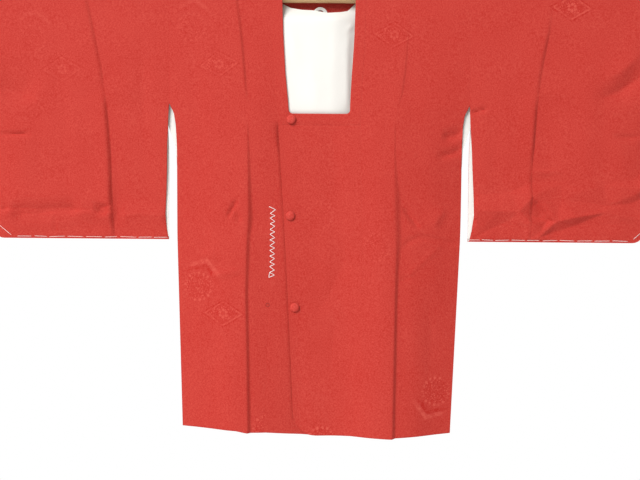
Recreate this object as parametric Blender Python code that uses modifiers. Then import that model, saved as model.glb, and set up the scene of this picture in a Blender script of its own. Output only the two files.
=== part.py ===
"""A michiyuki, a square-necked kimono coat, hanging on a round wooden rod.

Metres, +Z up, +X to the viewer's right, and the front faces -Y. The origin is the middle of the rod,
on its axis. Every cloth piece is a wall of even thickness on a grid whose rows run across the coat and
whose columns run along it, from the front hem up, over the rod and down to the back hem.
"""

import math
from collections import namedtuple

import bmesh
import bpy

# Rod and cloth
ROD_RADIUS = 0.0125
ROD_LENGTH = 1.42
ROD_SIDES = 32
ROD_EDGE = 0.001
ROD_CLEARANCE = 0.0005
CLOTH = 0.0013
COLLAR_CLOTH = 0.0016
COLLAR_PROUD = COLLAR_CLOTH - CLOTH
LINING = 0.0010
SLIT_LINING = 0.0008
LAYER_GAP = 0.0004
LINING_GAP = 0.0007
SEAM_GAP = 0.0004
SHOULDER = ROD_RADIUS + ROD_CLEARANCE + CLOTH
SHOULDER_STEPS = 9

# Lengths down from the rod's axis
NECK_BOTTOM = -0.234
FRAME_SEAM = -0.256
ARMHOLE_FRONT = -0.215
WRIST_END = FRAME_SEAM
SLIT_END = -0.345
SLEEVE_BOTTOM = -0.482
BODY_LENGTH = 0.860

# Widths and edges
SLEEVE_REACH = 0.643
SLEEVE_CORNER = 0.024
NECK_SEAM_BACK = {"left": 0.0955, "right": 0.0900}
NECK_SHARES = (0.93, 0.82, 0.66, 0.45, 0.22, 0.0)
COLLAR_WIDTH = 0.0205
COLLAR_TOP_DIP = 0.006
COLLAR_TOP_POWER = 2.6
SEAM_EDGE = 0.0017
FLAP_CORNER_WIDTH = 0.037
FLAP_CORNER_HEIGHT = 0.043

# How the front layers lie: the right front on top, the left front's hidden part tucked behind it
LIFT = 0.0021
LIFT_START = -0.03
LIFT_FULL = -0.20
LIFT_FADE_FROM = 0.082
LIFT_FADE_WIDTH = 0.100
TUCK = 0.0015
TUCK_WIDTH = 0.020

# Lining that shows
LINING_BACK_PLACES = (-0.200, -0.145, -0.0955, -0.074, -0.058, -0.036, -0.015, 0.0,
                      0.015, 0.036, 0.054, 0.069, 0.090, 0.145, 0.200)
LINING_BACK_SHARES = (0.0, 0.05, 0.12, 0.22, 0.36, 0.56, 0.78, 1.0)
LINING_BACK_TOP = -0.0075
LINING_BACK_BOTTOM = -0.620
SLIT_LINING_WIDTH = 0.035
SLIT_LINING_TOP = -0.205
SLIT_LINING_BOTTOM = -0.330
SLIT_LINING_ROWS = (SLIT_LINING_TOP, ARMHOLE_FRONT, NECK_BOTTOM, FRAME_SEAM, -0.278, -0.300,
                    SLIT_LINING_BOTTOM)
SLIT_LINING_INSET = 0.001
FURI_LINING_WIDTH = 0.045
FURI_LINING_PROUD = 0.0005
FURI_LINING_BOTTOM = -0.476

# Hanger loop
LOOP_HALF = 0.0112
LOOP_HEIGHT = 0.0125
LOOP_FOOT = -0.0335
LOOP_RIBBON = 0.0045
LOOP_CLOTH = 0.0012
LOOP_STEPS = 12

# Covered buttons
BUTTON_RADIUS = 0.009
BUTTON_BACK = 0.0075
BUTTON_RIM = 0.0022
BUTTON_DOME = 0.0038
BUTTON_CURVE = 5
BUTTON_SIDES = 20

# Colours and roughness
RED_CLOTH = (0.655, 0.060, 0.045)
WHITE_LINING = (0.86, 0.83, 0.80)
WOOD = (0.58, 0.38, 0.18)

# Rows down the body, from the rod's level to the slit's end, and the even rows from there to the hem
UPPER_ROWS = (0.0, -0.02, -0.05, -0.09, -0.13, -0.17, ARMHOLE_FRONT, NECK_BOTTOM, FRAME_SEAM, -0.30,
              SLIT_END)
LOWER_ROWS = 8
SLEEVE_ROWS = (0.0, -0.02, -0.06, -0.11, -0.16, ARMHOLE_FRONT, FRAME_SEAM, -0.30, SLIT_END, -0.39,
               -0.43, -0.46, -0.474, SLEEVE_BOTTOM)

# How far each free or sewn edge lies from the middle of the coat, by height, and how much farther out
# the body's right side lies than its left
EdgeRow = namedtuple("EdgeRow", "z body_front body_back right_more sleeve_left sleeve_right sleeve_back")
EDGES = (
    EdgeRow(0.000, 0.2955, 0.2955, 0.0000, 0.2955, 0.2955, 0.2955),
    EdgeRow(-0.215, 0.2955, 0.2993, 0.0000, 0.2955, 0.2955, 0.2993),
    EdgeRow(-0.234, 0.2862, 0.2996, 0.0000, 0.2966, 0.2964, 0.2996),
    EdgeRow(-0.256, 0.2825, 0.3000, 0.0000, 0.2974, 0.2972, 0.3000),
    EdgeRow(-0.300, 0.2802, 0.2838, 0.0012, 0.2988, 0.3004, 0.2975),
    EdgeRow(-0.345, 0.2800, 0.2800, 0.0015, 0.2990, 0.3024, 0.2965),
    EdgeRow(-0.390, 0.2794, 0.2794, 0.0017, 0.2998, 0.3048, 0.2964),
    EdgeRow(-0.430, 0.2789, 0.2789, 0.0018, 0.3012, 0.3062, 0.2962),
    EdgeRow(-0.460, 0.2785, 0.2785, 0.0017, 0.2990, 0.3020, 0.2958),
    EdgeRow(-0.482, 0.2780, 0.2780, 0.0016, 0.2950, 0.2972, 0.2950),
    EdgeRow(-0.870, 0.2637, 0.2637, -0.0013, 0.2950, 0.2972, 0.2950),
)

# Where the body lengths meet the collar frame and, below it, the front bands
SeamRow = namedtuple("SeamRow", "z left right")
FRONT_SEAMS = (
    SeamRow(0.000, NECK_SEAM_BACK["left"], NECK_SEAM_BACK["right"]),
    SeamRow(-0.090, 0.0922, 0.0877),
    SeamRow(-0.130, 0.0900, 0.0857),
    SeamRow(-0.170, 0.0876, 0.0833),
    SeamRow(-0.215, 0.0833, 0.0812),
    SeamRow(-0.234, 0.0816, 0.0804),
    SeamRow(-0.256, 0.0800, 0.0800),
    SeamRow(-0.554, 0.0945, 0.0895),
    SeamRow(-0.870, 0.1025, 0.1005),
)

# The seam round the back of the neck, by share of the way out from the middle to each shoulder
NeckRow = namedtuple("NeckRow", "share z")
NECK_CURVE = (
    NeckRow(-1.00, 0.0000),
    NeckRow(-0.90, -0.0080),
    NeckRow(-0.77, -0.0130),
    NeckRow(-0.61, -0.0217),
    NeckRow(-0.38, -0.0261),
    NeckRow(-0.16, -0.0271),
    NeckRow(0.16, -0.0332),
    NeckRow(0.44, -0.0306),
    NeckRow(0.60, -0.0270),
    NeckRow(0.77, -0.0100),
    NeckRow(0.90, -0.0060),
    NeckRow(1.00, 0.0000),
)

# The flap's free front edge, which crosses to the viewer's left
FlapRow = namedtuple("FlapRow", "z edge")
FLAP_EDGE = (
    FlapRow(-0.256, 0.0800),
    FlapRow(-0.364, 0.0730),
    FlapRow(-0.458, 0.0665),
    FlapRow(-0.552, 0.0610),
    FlapRow(-0.643, 0.0560),
    FlapRow(-0.794, 0.0480),
    FlapRow(-0.870, 0.0450),
)

# The two storage creases on each side of the coat, as lines down the front and the back
CreaseRow = namedtuple("CreaseRow", "z front_left front_right back_left back_right")
CREASES = (
    CreaseRow(0.000, -0.163, 0.176, -0.163, 0.176),
    CreaseRow(-0.130, -0.148, 0.164, -0.156, 0.168),
    CreaseRow(-0.180, -0.142, 0.157, -0.152, 0.163),
    CreaseRow(-0.267, -0.137, 0.149, -0.149, 0.158),
    CreaseRow(-0.480, -0.137, 0.145, -0.147, 0.155),
    CreaseRow(-0.870, -0.136, 0.145, -0.147, 0.154),
)

# Each crease's height at the hem, the width of its gentle side and of its steep side, which faces +X
Fold = namedtuple("Fold", "height gentle steep tail")
FOLDS = {
    "front_left": Fold(0.019, 0.125, 0.008, 0.035),
    "front_right": Fold(0.023, 0.125, 0.008, 0.080),
    "back_left": Fold(0.011, 0.110, 0.012, 0.050),
    "back_right": Fold(0.013, 0.110, 0.012, 0.060),
}
FOLD_GROWTH = 0.8
STEEP_SHARE = 0.62

# The crease down each sleeve, and the same on its back
SleeveCreaseRow = namedtuple("SleeveCreaseRow", "z left right")
SLEEVE_CREASES = (
    SleeveCreaseRow(0.000, -0.458, 0.466),
    SleeveCreaseRow(-0.120, -0.438, 0.448),
    SleeveCreaseRow(-0.215, -0.420, 0.434),
    SleeveCreaseRow(-0.370, -0.408, 0.422),
    SleeveCreaseRow(-0.482, -0.402, 0.424),
)
SLEEVE_FOLD = Fold(0.0045, 0.090, 0.010, 0.040)

# Half the depth of the hanging cloth: at the body's side edge, in the sleeve, and at its outer edge
DepthRow = namedtuple("DepthRow", "z body_side sleeve sleeve_outer")
DEPTHS = (
    DepthRow(0.000, SHOULDER, SHOULDER, SHOULDER),
    DepthRow(-0.215, 0.0086, 0.0086, 0.0086),
    DepthRow(-0.256, 0.0076, 0.0076, 0.0045),
    DepthRow(-0.300, 0.0050, 0.0068, SEAM_EDGE),
    DepthRow(-0.345, SEAM_EDGE, 0.0059, SEAM_EDGE),
    DepthRow(-0.460, SEAM_EDGE, 0.0036, SEAM_EDGE),
    DepthRow(-0.474, SEAM_EDGE, 0.0032, SEAM_EDGE),
    DepthRow(-0.482, SEAM_EDGE, SEAM_EDGE, SEAM_EDGE),
    DepthRow(-0.870, SEAM_EDGE, SEAM_EDGE, SEAM_EDGE),
)
BODY_DEPTH_HEM = 0.0130
BODY_RISE = 0.100
SLEEVE_RISE = 0.050

# The hem's height across the coat
HemRow = namedtuple("HemRow", "x z")
HEM = (
    HemRow(-0.300, -0.848),
    HemRow(-0.157, -0.853),
    HemRow(-0.136, -0.857),
    HemRow(-0.099, -0.857),
    HemRow(-0.032, -0.862),
    HemRow(0.000, -0.864),
    HemRow(0.065, -0.863),
    HemRow(0.145, -0.866),
    HemRow(0.152, -0.865),
    HemRow(0.300, -0.858),
)

# Buttons: height, and distance in from the flap's free edge
ButtonRow = namedtuple("ButtonRow", "name z inset")
BUTTONS = (
    ButtonRow("button_top", -0.246, 0.0250),
    ButtonRow("button_middle", -0.434, 0.0130),
    ButtonRow("button_bottom", -0.613, 0.0125),
)

SIGNS = {"left": -1, "right": 1}

# How finely the grids are divided
ACROSS = (0.0, 0.5, 1.0)
BAR_COLUMNS = 8
BAND_SHARES = (0.25, 0.5, 0.75, 1.0)
CORNER_TURNS = [math.radians(angle) for angle in (0, 30, 60, 90)]
EDGE_COLUMN = 0.010
NEAR_EDGE_COLUMN = 0.040
CREASE_LEAD = 0.015
CREASE_TAIL = 0.020
SETTLE_PASSES = 3


# Small sums

def mix(a, b, share):
    return a + (b - a) * share


def ease(value):
    """Smooth step from 0 to 1."""
    v = min(1.0, max(0.0, value))
    return v * v * (3 - 2 * v)


def rise(value):
    """Fast start from 0 and a soft end at 1, as cloth rounds away from a seam."""
    v = min(1.0, max(0.0, value))
    return 1 - (1 - v) ** 2


def at(table, column, key, key_column="z"):
    """A table's column at a height, or at another key, straight between the rows."""
    rows = sorted(table, key=lambda row: getattr(row, key_column))
    if key <= getattr(rows[0], key_column):
        return getattr(rows[0], column)
    for low, high in zip(rows, rows[1:]):
        start, stop = getattr(low, key_column), getattr(high, key_column)
        if key <= stop:
            return mix(getattr(low, column), getattr(high, column), (key - start) / (stop - start))
    return getattr(rows[-1], column)


# Where the surface of the coat lies

def hem_height(x):
    return at(HEM, "z", x, "x")


def fold_relief(x, crest, fold):
    """A crease's height at x: gentle on its -X side, steep and then tailing off on its +X side."""
    if x <= crest:
        return ease(1 + (x - crest) / fold.gentle)
    steep = 1 - ease((x - crest) / fold.steep)
    tail = 1 - ease((x - crest) / fold.tail)
    return STEEP_SHARE * steep + (1 - STEEP_SHARE) * tail


def body_edge(side, face, z):
    """How far out the body's side edge lies on its front or back."""
    more = at(EDGES, "right_more", z) if side == "right" else 0.0
    return at(EDGES, f"body_{face}", z) + more


def from_side(x, z):
    """How far in from the body's side edge a point lies."""
    return body_edge("right" if x > 0 else "left", "front", z) - abs(x)


def body_base(x, z):
    """The body's half depth without its creases."""
    side = at(DEPTHS, "body_side", z)
    middle = mix(SHOULDER, BODY_DEPTH_HEM, -z / BODY_LENGTH)
    return mix(side, middle, rise(from_side(x, z) / BODY_RISE))


def body_depth(x, z, face):
    """The body's half depth at x and z, on its front or back."""
    depth = body_base(x, z)
    grown = (max(0.0, -z) / BODY_LENGTH) ** FOLD_GROWTH
    for side in SIGNS:
        line = f"{face}_{side}"
        fold = FOLDS[line]
        relief = fold_relief(x, at(CREASES, line, z), fold)
        depth += fold.height * grown * relief * rise(from_side(x, z) / BODY_RISE)
    return depth


def lift(x, z):
    """How far the right front stands over the left front."""
    down = ease((z - LIFT_START) / (LIFT_FULL - LIFT_START))
    return LIFT * down * (1 - ease((x - LIFT_FADE_FROM) / LIFT_FADE_WIDTH))


def tuck(x, z):
    """How far the left front's hidden part lies behind its visible part."""
    return TUCK * ease((x + at(FLAP_EDGE, "edge", z)) / TUCK_WIDTH)


def sleeve_depth(x, z, side):
    """The sleeve's half depth, the same on its front and back."""
    seam = at(DEPTHS, "sleeve_outer", z)
    depth = mix(seam, at(DEPTHS, "sleeve", z), rise((SLEEVE_REACH - abs(x)) / SLEEVE_RISE))
    crest = at(SLEEVE_CREASES, side, z)
    height = SLEEVE_FOLD.height * math.sin(math.pi * min(1.0, z / SLEEVE_BOTTOM)) ** FOLD_GROWTH
    return depth + height * fold_relief(x, crest, SLEEVE_FOLD)


def over_rod(x, radius, turn):
    """A point on the shoulder's half circle over the rod: turn 0 is the front, 1 the back."""
    angle = math.pi * turn
    return (x, -radius * math.cos(angle), radius * math.sin(angle))


def shoulder_turns():
    return [step / SHOULDER_STEPS for step in range(1, SHOULDER_STEPS)]


def body_rows(x):
    """Heights of the body's rows at x, from the rod's level to the hem."""
    hem = hem_height(x)
    lower = [mix(SLIT_END, hem, step / LOWER_ROWS) for step in range(1, LOWER_ROWS + 1)]
    return list(UPPER_ROWS) + lower


def settle(place, height):
    """The x and z of a grid point whose x depends on its height and whose height depends on its x."""
    z = SLIT_END
    for _ in range(SETTLE_PASSES):
        x = place(z)
        z = height(x)
    return x, z


# Building closed walls from grids

def principled(name, colour, roughness):
    material = bpy.data.materials.new(name)
    material.use_nodes = True
    shader = material.node_tree.nodes["Principled BSDF"]
    shader.inputs["Base Color"].default_value = (*colour, 1)
    shader.inputs["Roughness"].default_value = roughness
    shader.inputs["Metallic"].default_value = 0.0
    material.diffuse_color = (*colour, 1)
    return material


def add_object(name, mesh, colour, roughness):
    piece = bpy.data.objects.new(name, mesh)
    mesh.materials.append(principled(name + "_finish", colour, roughness))
    coat.objects.link(piece)
    return piece


def wall(name, grid, thickness, colour=RED_CLOTH, roughness=0.75, bridges=()):
    """A closed wall on a grid of outer points. None leaves a place bare. A bridge joins two borders."""
    bm = bmesh.new()
    verts = [[bm.verts.new(point) if point else None for point in row] for row in grid]
    for lower, upper in zip(verts, verts[1:]):
        for a, b, c, d in zip(lower, lower[1:], upper[1:], upper):
            if a and b and c and d:
                bm.faces.new((a, b, c, d))
    for near, far in bridges:
        for (i, j), (k, l), (m, n), (o, p) in zip(near, near[1:], far[1:], far):
            bm.faces.new((verts[i][j], verts[k][l], verts[m][n], verts[o][p]))
    bmesh.ops.recalc_face_normals(bm, faces=bm.faces)
    bm.faces.ensure_lookup_table()
    first = bm.faces[0]
    first.normal_update()
    if first.normal.y * first.calc_center_median().y < 0:
        bmesh.ops.reverse_faces(bm, faces=bm.faces)
    mesh = bpy.data.meshes.new(name)
    bm.to_mesh(mesh)
    bm.free()
    mesh.shade_smooth()
    piece = add_object(name, mesh, colour, roughness)
    solid = piece.modifiers.new("Cloth", "SOLIDIFY")
    solid.thickness = thickness
    solid.offset = -1
    solid.use_even_offset = True
    return piece


# Body lengths

def body_stations(side, face, z):
    """The x of each column of a body length at z, from the side edge to the collar's seam."""
    sign = SIGNS[side]
    gap = SEAM_GAP / 2
    edge = sign * (body_edge(side, face, z) - gap)
    inner = at(FRONT_SEAMS, side, z) if face == "front" else NECK_SEAM_BACK[side]
    seam = sign * (inner + gap)
    crest = at(CREASES, f"{face}_{side}", z)
    steep = FOLDS[f"{face}_{side}"].steep
    near_edge = edge - sign * NEAR_EDGE_COLUMN
    if side == "left":
        start = crest - CREASE_LEAD
        foot = crest + steep
        crossing = [start, crest, mix(crest, foot, 0.5), foot, mix(foot, seam, 0.5)]
    else:
        start = crest + steep + CREASE_TAIL
        crossing = [start, crest + steep, crest + steep / 2, crest, mix(crest, seam, 0.5)]
    return [edge, edge - sign * EDGE_COLUMN, near_edge, mix(near_edge, start, 0.5), *crossing, seam]


def neck_seam_height(x):
    """The back neck's seam, where the collar band meets the back."""
    return at(NECK_CURVE, "z", x / NECK_SEAM_BACK["right" if x > 0 else "left"], "share")


def body_point(x, z, face):
    depth = body_depth(x, z, face)
    if face == "back":
        return (x, depth, z)
    return (x, -depth - (lift(x, z) if x > 0 else 0.0), z)


def body_face(side, face):
    """One face of a body length, row by row from the rod's level to the hem."""
    rows = []
    count = len(body_rows(0.0))
    for row in range(count):
        points = []
        for column in range(len(body_stations(side, face, 0.0))):
            x, z = settle(lambda z: body_stations(side, face, z)[column], lambda x: body_rows(x)[row])
            points.append(body_point(x, z, face))
        for share in NECK_SHARES:
            if face == "front":
                points.append(None)
                continue
            x = SIGNS[side] * max(SEAM_GAP / 2, NECK_SEAM_BACK[side] * share)
            top = neck_seam_height(x)
            hem = hem_height(x)
            z = mix(top, hem, body_rows(x)[row] / hem)
            points.append(body_point(x, z, face))
        rows.append(points)
    return rows


def make_body(side):
    front = body_face(side, "front")
    back = body_face(side, "back")
    stations = body_stations(side, "front", 0.0)
    bare = [None] * len(NECK_SHARES)
    shoulder = [[over_rod(x, SHOULDER, turn) for x in stations] + bare for turn in shoulder_turns()]
    grid = front[::-1] + shoulder + back
    slit_row = len(UPPER_ROWS) - 1
    last = len(front) - 1
    back_start = len(front) + len(shoulder)
    front_side = [(last - row, 0) for row in range(slit_row, last + 1)]
    back_side = [(back_start + row, 0) for row in range(slit_row, last + 1)]
    wall(f"body_{side}", grid, CLOTH, bridges=[(front_side, back_side)])


# Sleeves

def sleeve_columns(side, face, z):
    """Pairs of x and the share of the corner's rounding, from the inner edge to the outer edge."""
    sign = SIGNS[side]
    column = f"sleeve_{side}" if face == "front" else "sleeve_back"
    edge = at(EDGES, column, z) + SEAM_GAP / 2
    crest = abs(at(SLEEVE_CREASES, side, z))
    outer = SLEEVE_REACH - SLEEVE_CORNER
    if side == "left":
        crossing = [crest - SLEEVE_FOLD.tail, crest - SLEEVE_FOLD.steep, crest, crest + CREASE_TAIL]
    else:
        crossing = [crest - CREASE_TAIL, crest, crest + SLEEVE_FOLD.steep, crest + SLEEVE_FOLD.tail]
    near_edge = edge + EDGE_COLUMN
    inner = [edge, near_edge, mix(near_edge, crossing[0], 0.5), *crossing, mix(crossing[-1], outer, 0.5)]
    columns = [(sign * x, 0.0) for x in inner]
    for turn in CORNER_TURNS:
        columns.append((sign * (outer + SLEEVE_CORNER * math.sin(turn)), 1 - math.cos(turn)))
    return columns


def make_sleeve(side):
    def face_rows(face):
        rows = []
        for z in SLEEVE_ROWS:
            points = []
            for x, rounding in sleeve_columns(side, face, z):
                bottom = SLEEVE_BOTTOM + SLEEVE_CORNER * rounding
                depth = sleeve_depth(x, z, side)
                points.append((x, -depth if face == "front" else depth, z * bottom / SLEEVE_BOTTOM))
            rows.append(points)
        return rows

    front = face_rows("front")
    back = face_rows("back")
    stations = [x for x, _ in sleeve_columns(side, "front", 0.0)]
    shoulder = [[over_rod(x, SHOULDER, turn) for x in stations] for turn in shoulder_turns()]
    grid = front[::-1] + shoulder + back
    last = len(front) - 1
    back_start = len(front) + len(shoulder)
    outer = len(stations) - 1
    wrist = SLEEVE_ROWS.index(WRIST_END)
    path = [(row, outer) for row in range(wrist, last + 1)]
    path += [(last, column) for column in range(outer - 1, -1, -1)]
    near = [(last - row, column) for row, column in path]
    far = [(back_start + row, column) for row, column in path]
    wall(f"sleeve_{side}", grid, CLOTH, bridges=[(near, far)])


# Front bands

def band_columns(side, z):
    """Pairs of x and the share of the corner's rounding, from the free edge to the seam."""
    sign = SIGNS[side]
    free = -sign * at(FLAP_EDGE, "edge", z)
    seam = sign * (at(FRONT_SEAMS, side, z) - SEAM_GAP / 2)
    columns = []
    for turn in CORNER_TURNS:
        columns.append((free + sign * FLAP_CORNER_WIDTH * (1 - math.cos(turn)), 1 - math.sin(turn)))
    corner = columns[-1][0]
    columns += [(mix(corner, seam, share), 0.0) for share in BAND_SHARES]
    return columns


def band_height(x, row, rounding):
    """A band's row at x, in step with the body's rows, so that the two meet evenly along the seam."""
    hem = hem_height(x)
    share = (body_rows(x)[row] - FRAME_SEAM) / (hem - FRAME_SEAM)
    return mix(FRAME_SEAM - SEAM_GAP, hem + FLAP_CORNER_HEIGHT * rounding, share)


def band_grid(side):
    """A front band from its free edge, whose lower corner is rounded, across the front to its seam."""
    grid = []
    roundings = [rounding for _, rounding in band_columns(side, FRAME_SEAM)]
    for row in range(UPPER_ROWS.index(FRAME_SEAM), len(body_rows(0.0))):
        points = []
        for column, rounding in enumerate(roundings):
            x, z = settle(lambda z: band_columns(side, z)[column][0],
                          lambda x: band_height(x, row, rounding))
            depth = body_depth(x, z, "front")
            depth += lift(x, z) if side == "right" else -tuck(x, z)
            points.append((x, -depth, z))
        grid.append(points)
    return grid


def make_bands():
    wall("front_band_over", band_grid("right"), CLOTH)
    wall("front_band_under", band_grid("left"), CLOTH)


# Collar frame

def collar_edges(side, z):
    """The frame's outer and inner edge at a height."""
    outer = at(FRONT_SEAMS, side, z) - SEAM_GAP / 2
    return outer, outer - COLLAR_WIDTH


def make_collar_side(side):
    sign = SIGNS[side]
    rows = []
    for z in UPPER_ROWS[:UPPER_ROWS.index(FRAME_SEAM) + 1]:
        outer, inner = collar_edges(side, z)
        points = []
        for share in ACROSS:
            x = sign * mix(outer, inner, share)
            height = z * mix(1.0, NECK_BOTTOM / FRAME_SEAM, share)
            depth = body_depth(x, height, "front") + COLLAR_PROUD
            if side == "right":
                depth += lift(x, height)
            points.append((x, -depth, height))
        rows.append(points)
    outer, inner = collar_edges(side, 0.0)
    places = [sign * mix(outer, inner, share) for share in ACROSS]
    radius = SHOULDER + COLLAR_PROUD
    shoulder = [[over_rod(x, radius, turn) for x in places] for turn in shoulder_turns()]
    end = [[(x, radius, 0.0) for x in places]]
    wall(f"collar_{side}", rows[::-1] + shoulder + end, COLLAR_CLOTH)


def make_collar_bar(name, mitre_side):
    """The bar under the neck. Its far end is mitred to the frame's side, and its near end lies free."""
    over = mitre_side == "right"
    grid = []
    for share in ACROSS:
        z = mix(NECK_BOTTOM, FRAME_SEAM, share)
        outer, _ = collar_edges("right", FRAME_SEAM)
        half = mix(outer - COLLAR_WIDTH, outer, share)
        ends = {"left": -half, "right": half}
        ends[mitre_side] -= SIGNS[mitre_side] * SEAM_GAP * math.sqrt(2)
        points = []
        for step in range(BAR_COLUMNS + 1):
            x = mix(ends["left"], ends["right"], step / BAR_COLUMNS)
            depth = body_depth(x, z, "front") + COLLAR_PROUD
            depth += lift(x, z) if over else -tuck(x, FRAME_SEAM)
            points.append((x, -depth, z))
        grid.append(points)
    wall(name, grid, COLLAR_CLOTH)


def make_collar_back():
    """The band round the back of the neck, which dips behind the rod."""
    shares = [-1.0] + [-share for share in NECK_SHARES] + list(NECK_SHARES[-2::-1]) + [1.0]
    grid = []
    for across in ACROSS:
        points = []
        for share in shares:
            side = "right" if share > 0 else "left"
            outer, inner = collar_edges(side, 0.0)
            low_x = share * (NECK_SEAM_BACK[side] if abs(share) < 1 else outer - 2 * SEAM_GAP)
            low = neck_seam_height(low_x) + SEAM_GAP if abs(share) < 1 else -SEAM_GAP
            high = -COLLAR_TOP_DIP * (1 - abs(share) ** COLLAR_TOP_POWER) - SEAM_GAP
            x = mix(low_x, share * inner, across)
            z = mix(low, high, across)
            points.append((x, body_base(x, z) + COLLAR_PROUD, z))
        grid.append(points)
    wall("collar_back", grid, COLLAR_CLOTH)


# Lining

def make_lining_back():
    grid = []
    for share in LINING_BACK_SHARES:
        points = []
        for place in LINING_BACK_PLACES:
            top = min(neck_seam_height(place), LINING_BACK_TOP)
            z = mix(top, LINING_BACK_BOTTOM, share)
            points.append((place, body_base(place, z) - CLOTH - LINING_GAP, z))
        grid.append(points)
    wall("lining_back", grid, LINING, WHITE_LINING, 0.45)


def make_slit_lining(side):
    """The lining seen at the open side, on the inside of the back."""
    sign = SIGNS[side]
    grid = []
    for z in SLIT_LINING_ROWS:
        edge = body_edge(side, "back", z) - SLIT_LINING_INSET
        points = []
        for share in ACROSS:
            x = sign * (edge - SLIT_LINING_WIDTH * share)
            points.append((x, body_depth(x, z, "back") - CLOTH - LINING_GAP, z))
        grid.append(points)
    wall(f"lining_slit_{side}", grid, SLIT_LINING, WHITE_LINING, 0.45)


def make_furi_lining(side):
    """The sleeve's lining, seen along its open inner edge, inside the sleeve's back."""
    sign = SIGNS[side]
    heights = [z for z in SLEEVE_ROWS if FURI_LINING_BOTTOM <= z <= FRAME_SEAM] + [FURI_LINING_BOTTOM]
    grid = []
    for z in heights:
        edge = at(EDGES, "sleeve_back", z) + SEAM_GAP / 2 - FURI_LINING_PROUD
        points = []
        for share in ACROSS:
            x = sign * (edge + FURI_LINING_WIDTH * share)
            points.append((x, sleeve_depth(x, z, side) - CLOTH - LINING_GAP, z))
        grid.append(points)
    wall(f"lining_furi_{side}", grid, SLIT_LINING, WHITE_LINING, 0.45)


# Hanger loop

def make_loop():
    """A folded ribbon sewn in at the back neck's seam, standing up as an arch."""
    foot = body_base(0.0, LOOP_FOOT) - CLOTH - LINING - 2 * LINING_GAP
    grid = []
    for step in range(LOOP_STEPS + 1):
        turn = math.pi * step / LOOP_STEPS
        points = []
        for share in ACROSS:
            half = LOOP_HALF + LOOP_RIBBON * (share - 0.5)
            height = LOOP_HEIGHT + LOOP_RIBBON * (share - 0.5)
            points.append((half * math.cos(turn), foot, LOOP_FOOT + height * math.sin(turn)))
        grid.append(points)
    wall("hanger_loop", grid, LOOP_CLOTH, WHITE_LINING, 0.5)


# Buttons and rod

def make_button(row):
    """A covered button, with a flat back, a rounded rim and a low dome, turned about its axis."""
    profile = []
    for step in range(BUTTON_CURVE + 1):
        turn = math.pi / 2 * (1 - step / BUTTON_CURVE)
        profile.append((BUTTON_RADIUS * math.cos(turn), 0.0, BUTTON_RIM + BUTTON_DOME * math.sin(turn)))
    profile += [(BUTTON_BACK, 0.0, 0.0), (0.0, 0.0, 0.0)]
    profile[0] = (0.0, 0.0, BUTTON_RIM + BUTTON_DOME)
    mesh = bpy.data.meshes.new(row.name)
    mesh.from_pydata(profile, [(step, step + 1) for step in range(len(profile) - 1)], [])
    piece = add_object(row.name, mesh, RED_CLOTH, 0.65)
    x = row.inset - at(FLAP_EDGE, "edge", row.z)
    proud = COLLAR_PROUD if row.z > FRAME_SEAM else 0.0
    under = [(x + dx, row.z + dz)
             for dx in (-BUTTON_RADIUS, 0.0, BUTTON_RADIUS)
             for dz in (-BUTTON_RADIUS, 0.0, BUTTON_RADIUS)]
    deepest = max(body_depth(near, level, "front") + lift(near, level) for near, level in under)
    piece.location = (x, -deepest - proud - LAYER_GAP, row.z)
    piece.rotation_euler = (math.pi / 2, 0, 0)
    turned = piece.modifiers.new("Turned", "SCREW")
    turned.steps = BUTTON_SIDES
    turned.render_steps = BUTTON_SIDES
    turned.use_merge_vertices = True
    turned.merge_threshold = 0.00001


def make_rod():
    bpy.ops.mesh.primitive_cylinder_add(vertices=ROD_SIDES, radius=ROD_RADIUS, depth=ROD_LENGTH)
    rod = bpy.context.object
    rod.name = "hanging_rod"
    rod.data.name = "hanging_rod"
    rod.rotation_euler = (0, math.pi / 2, 0)
    for holder in list(rod.users_collection):
        holder.objects.unlink(rod)
    coat.objects.link(rod)
    rod.data.materials.append(principled("hanging_rod_finish", WOOD, 0.5))
    bevel = rod.modifiers.new("Eased ends", "BEVEL")
    bevel.width = ROD_EDGE
    bevel.segments = 2
    bevel.limit_method = "ANGLE"
    rod.data.shade_smooth()
    rod.data.set_sharp_from_angle(angle=math.radians(40))


for leftover in list(bpy.data.objects):
    bpy.data.objects.remove(leftover, do_unlink=True)
coat = bpy.data.collections.new("michiyuki_coat")
bpy.context.scene.collection.children.link(coat)

make_rod()
for coat_side in SIGNS:
    make_body(coat_side)
    make_sleeve(coat_side)
    make_collar_side(coat_side)
    make_slit_lining(coat_side)
    make_furi_lining(coat_side)
make_bands()
make_collar_bar("collar_front_over", "right")
make_collar_bar("collar_front_under", "left")
make_collar_back()
make_lining_back()
make_loop()
for button in BUTTONS:
    make_button(button)
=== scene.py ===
import math
from collections import namedtuple

import bmesh
import bpy
import numpy as np
from mathutils import Matrix, Vector
from mathutils.geometry import delaunay_2d_cdt


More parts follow.
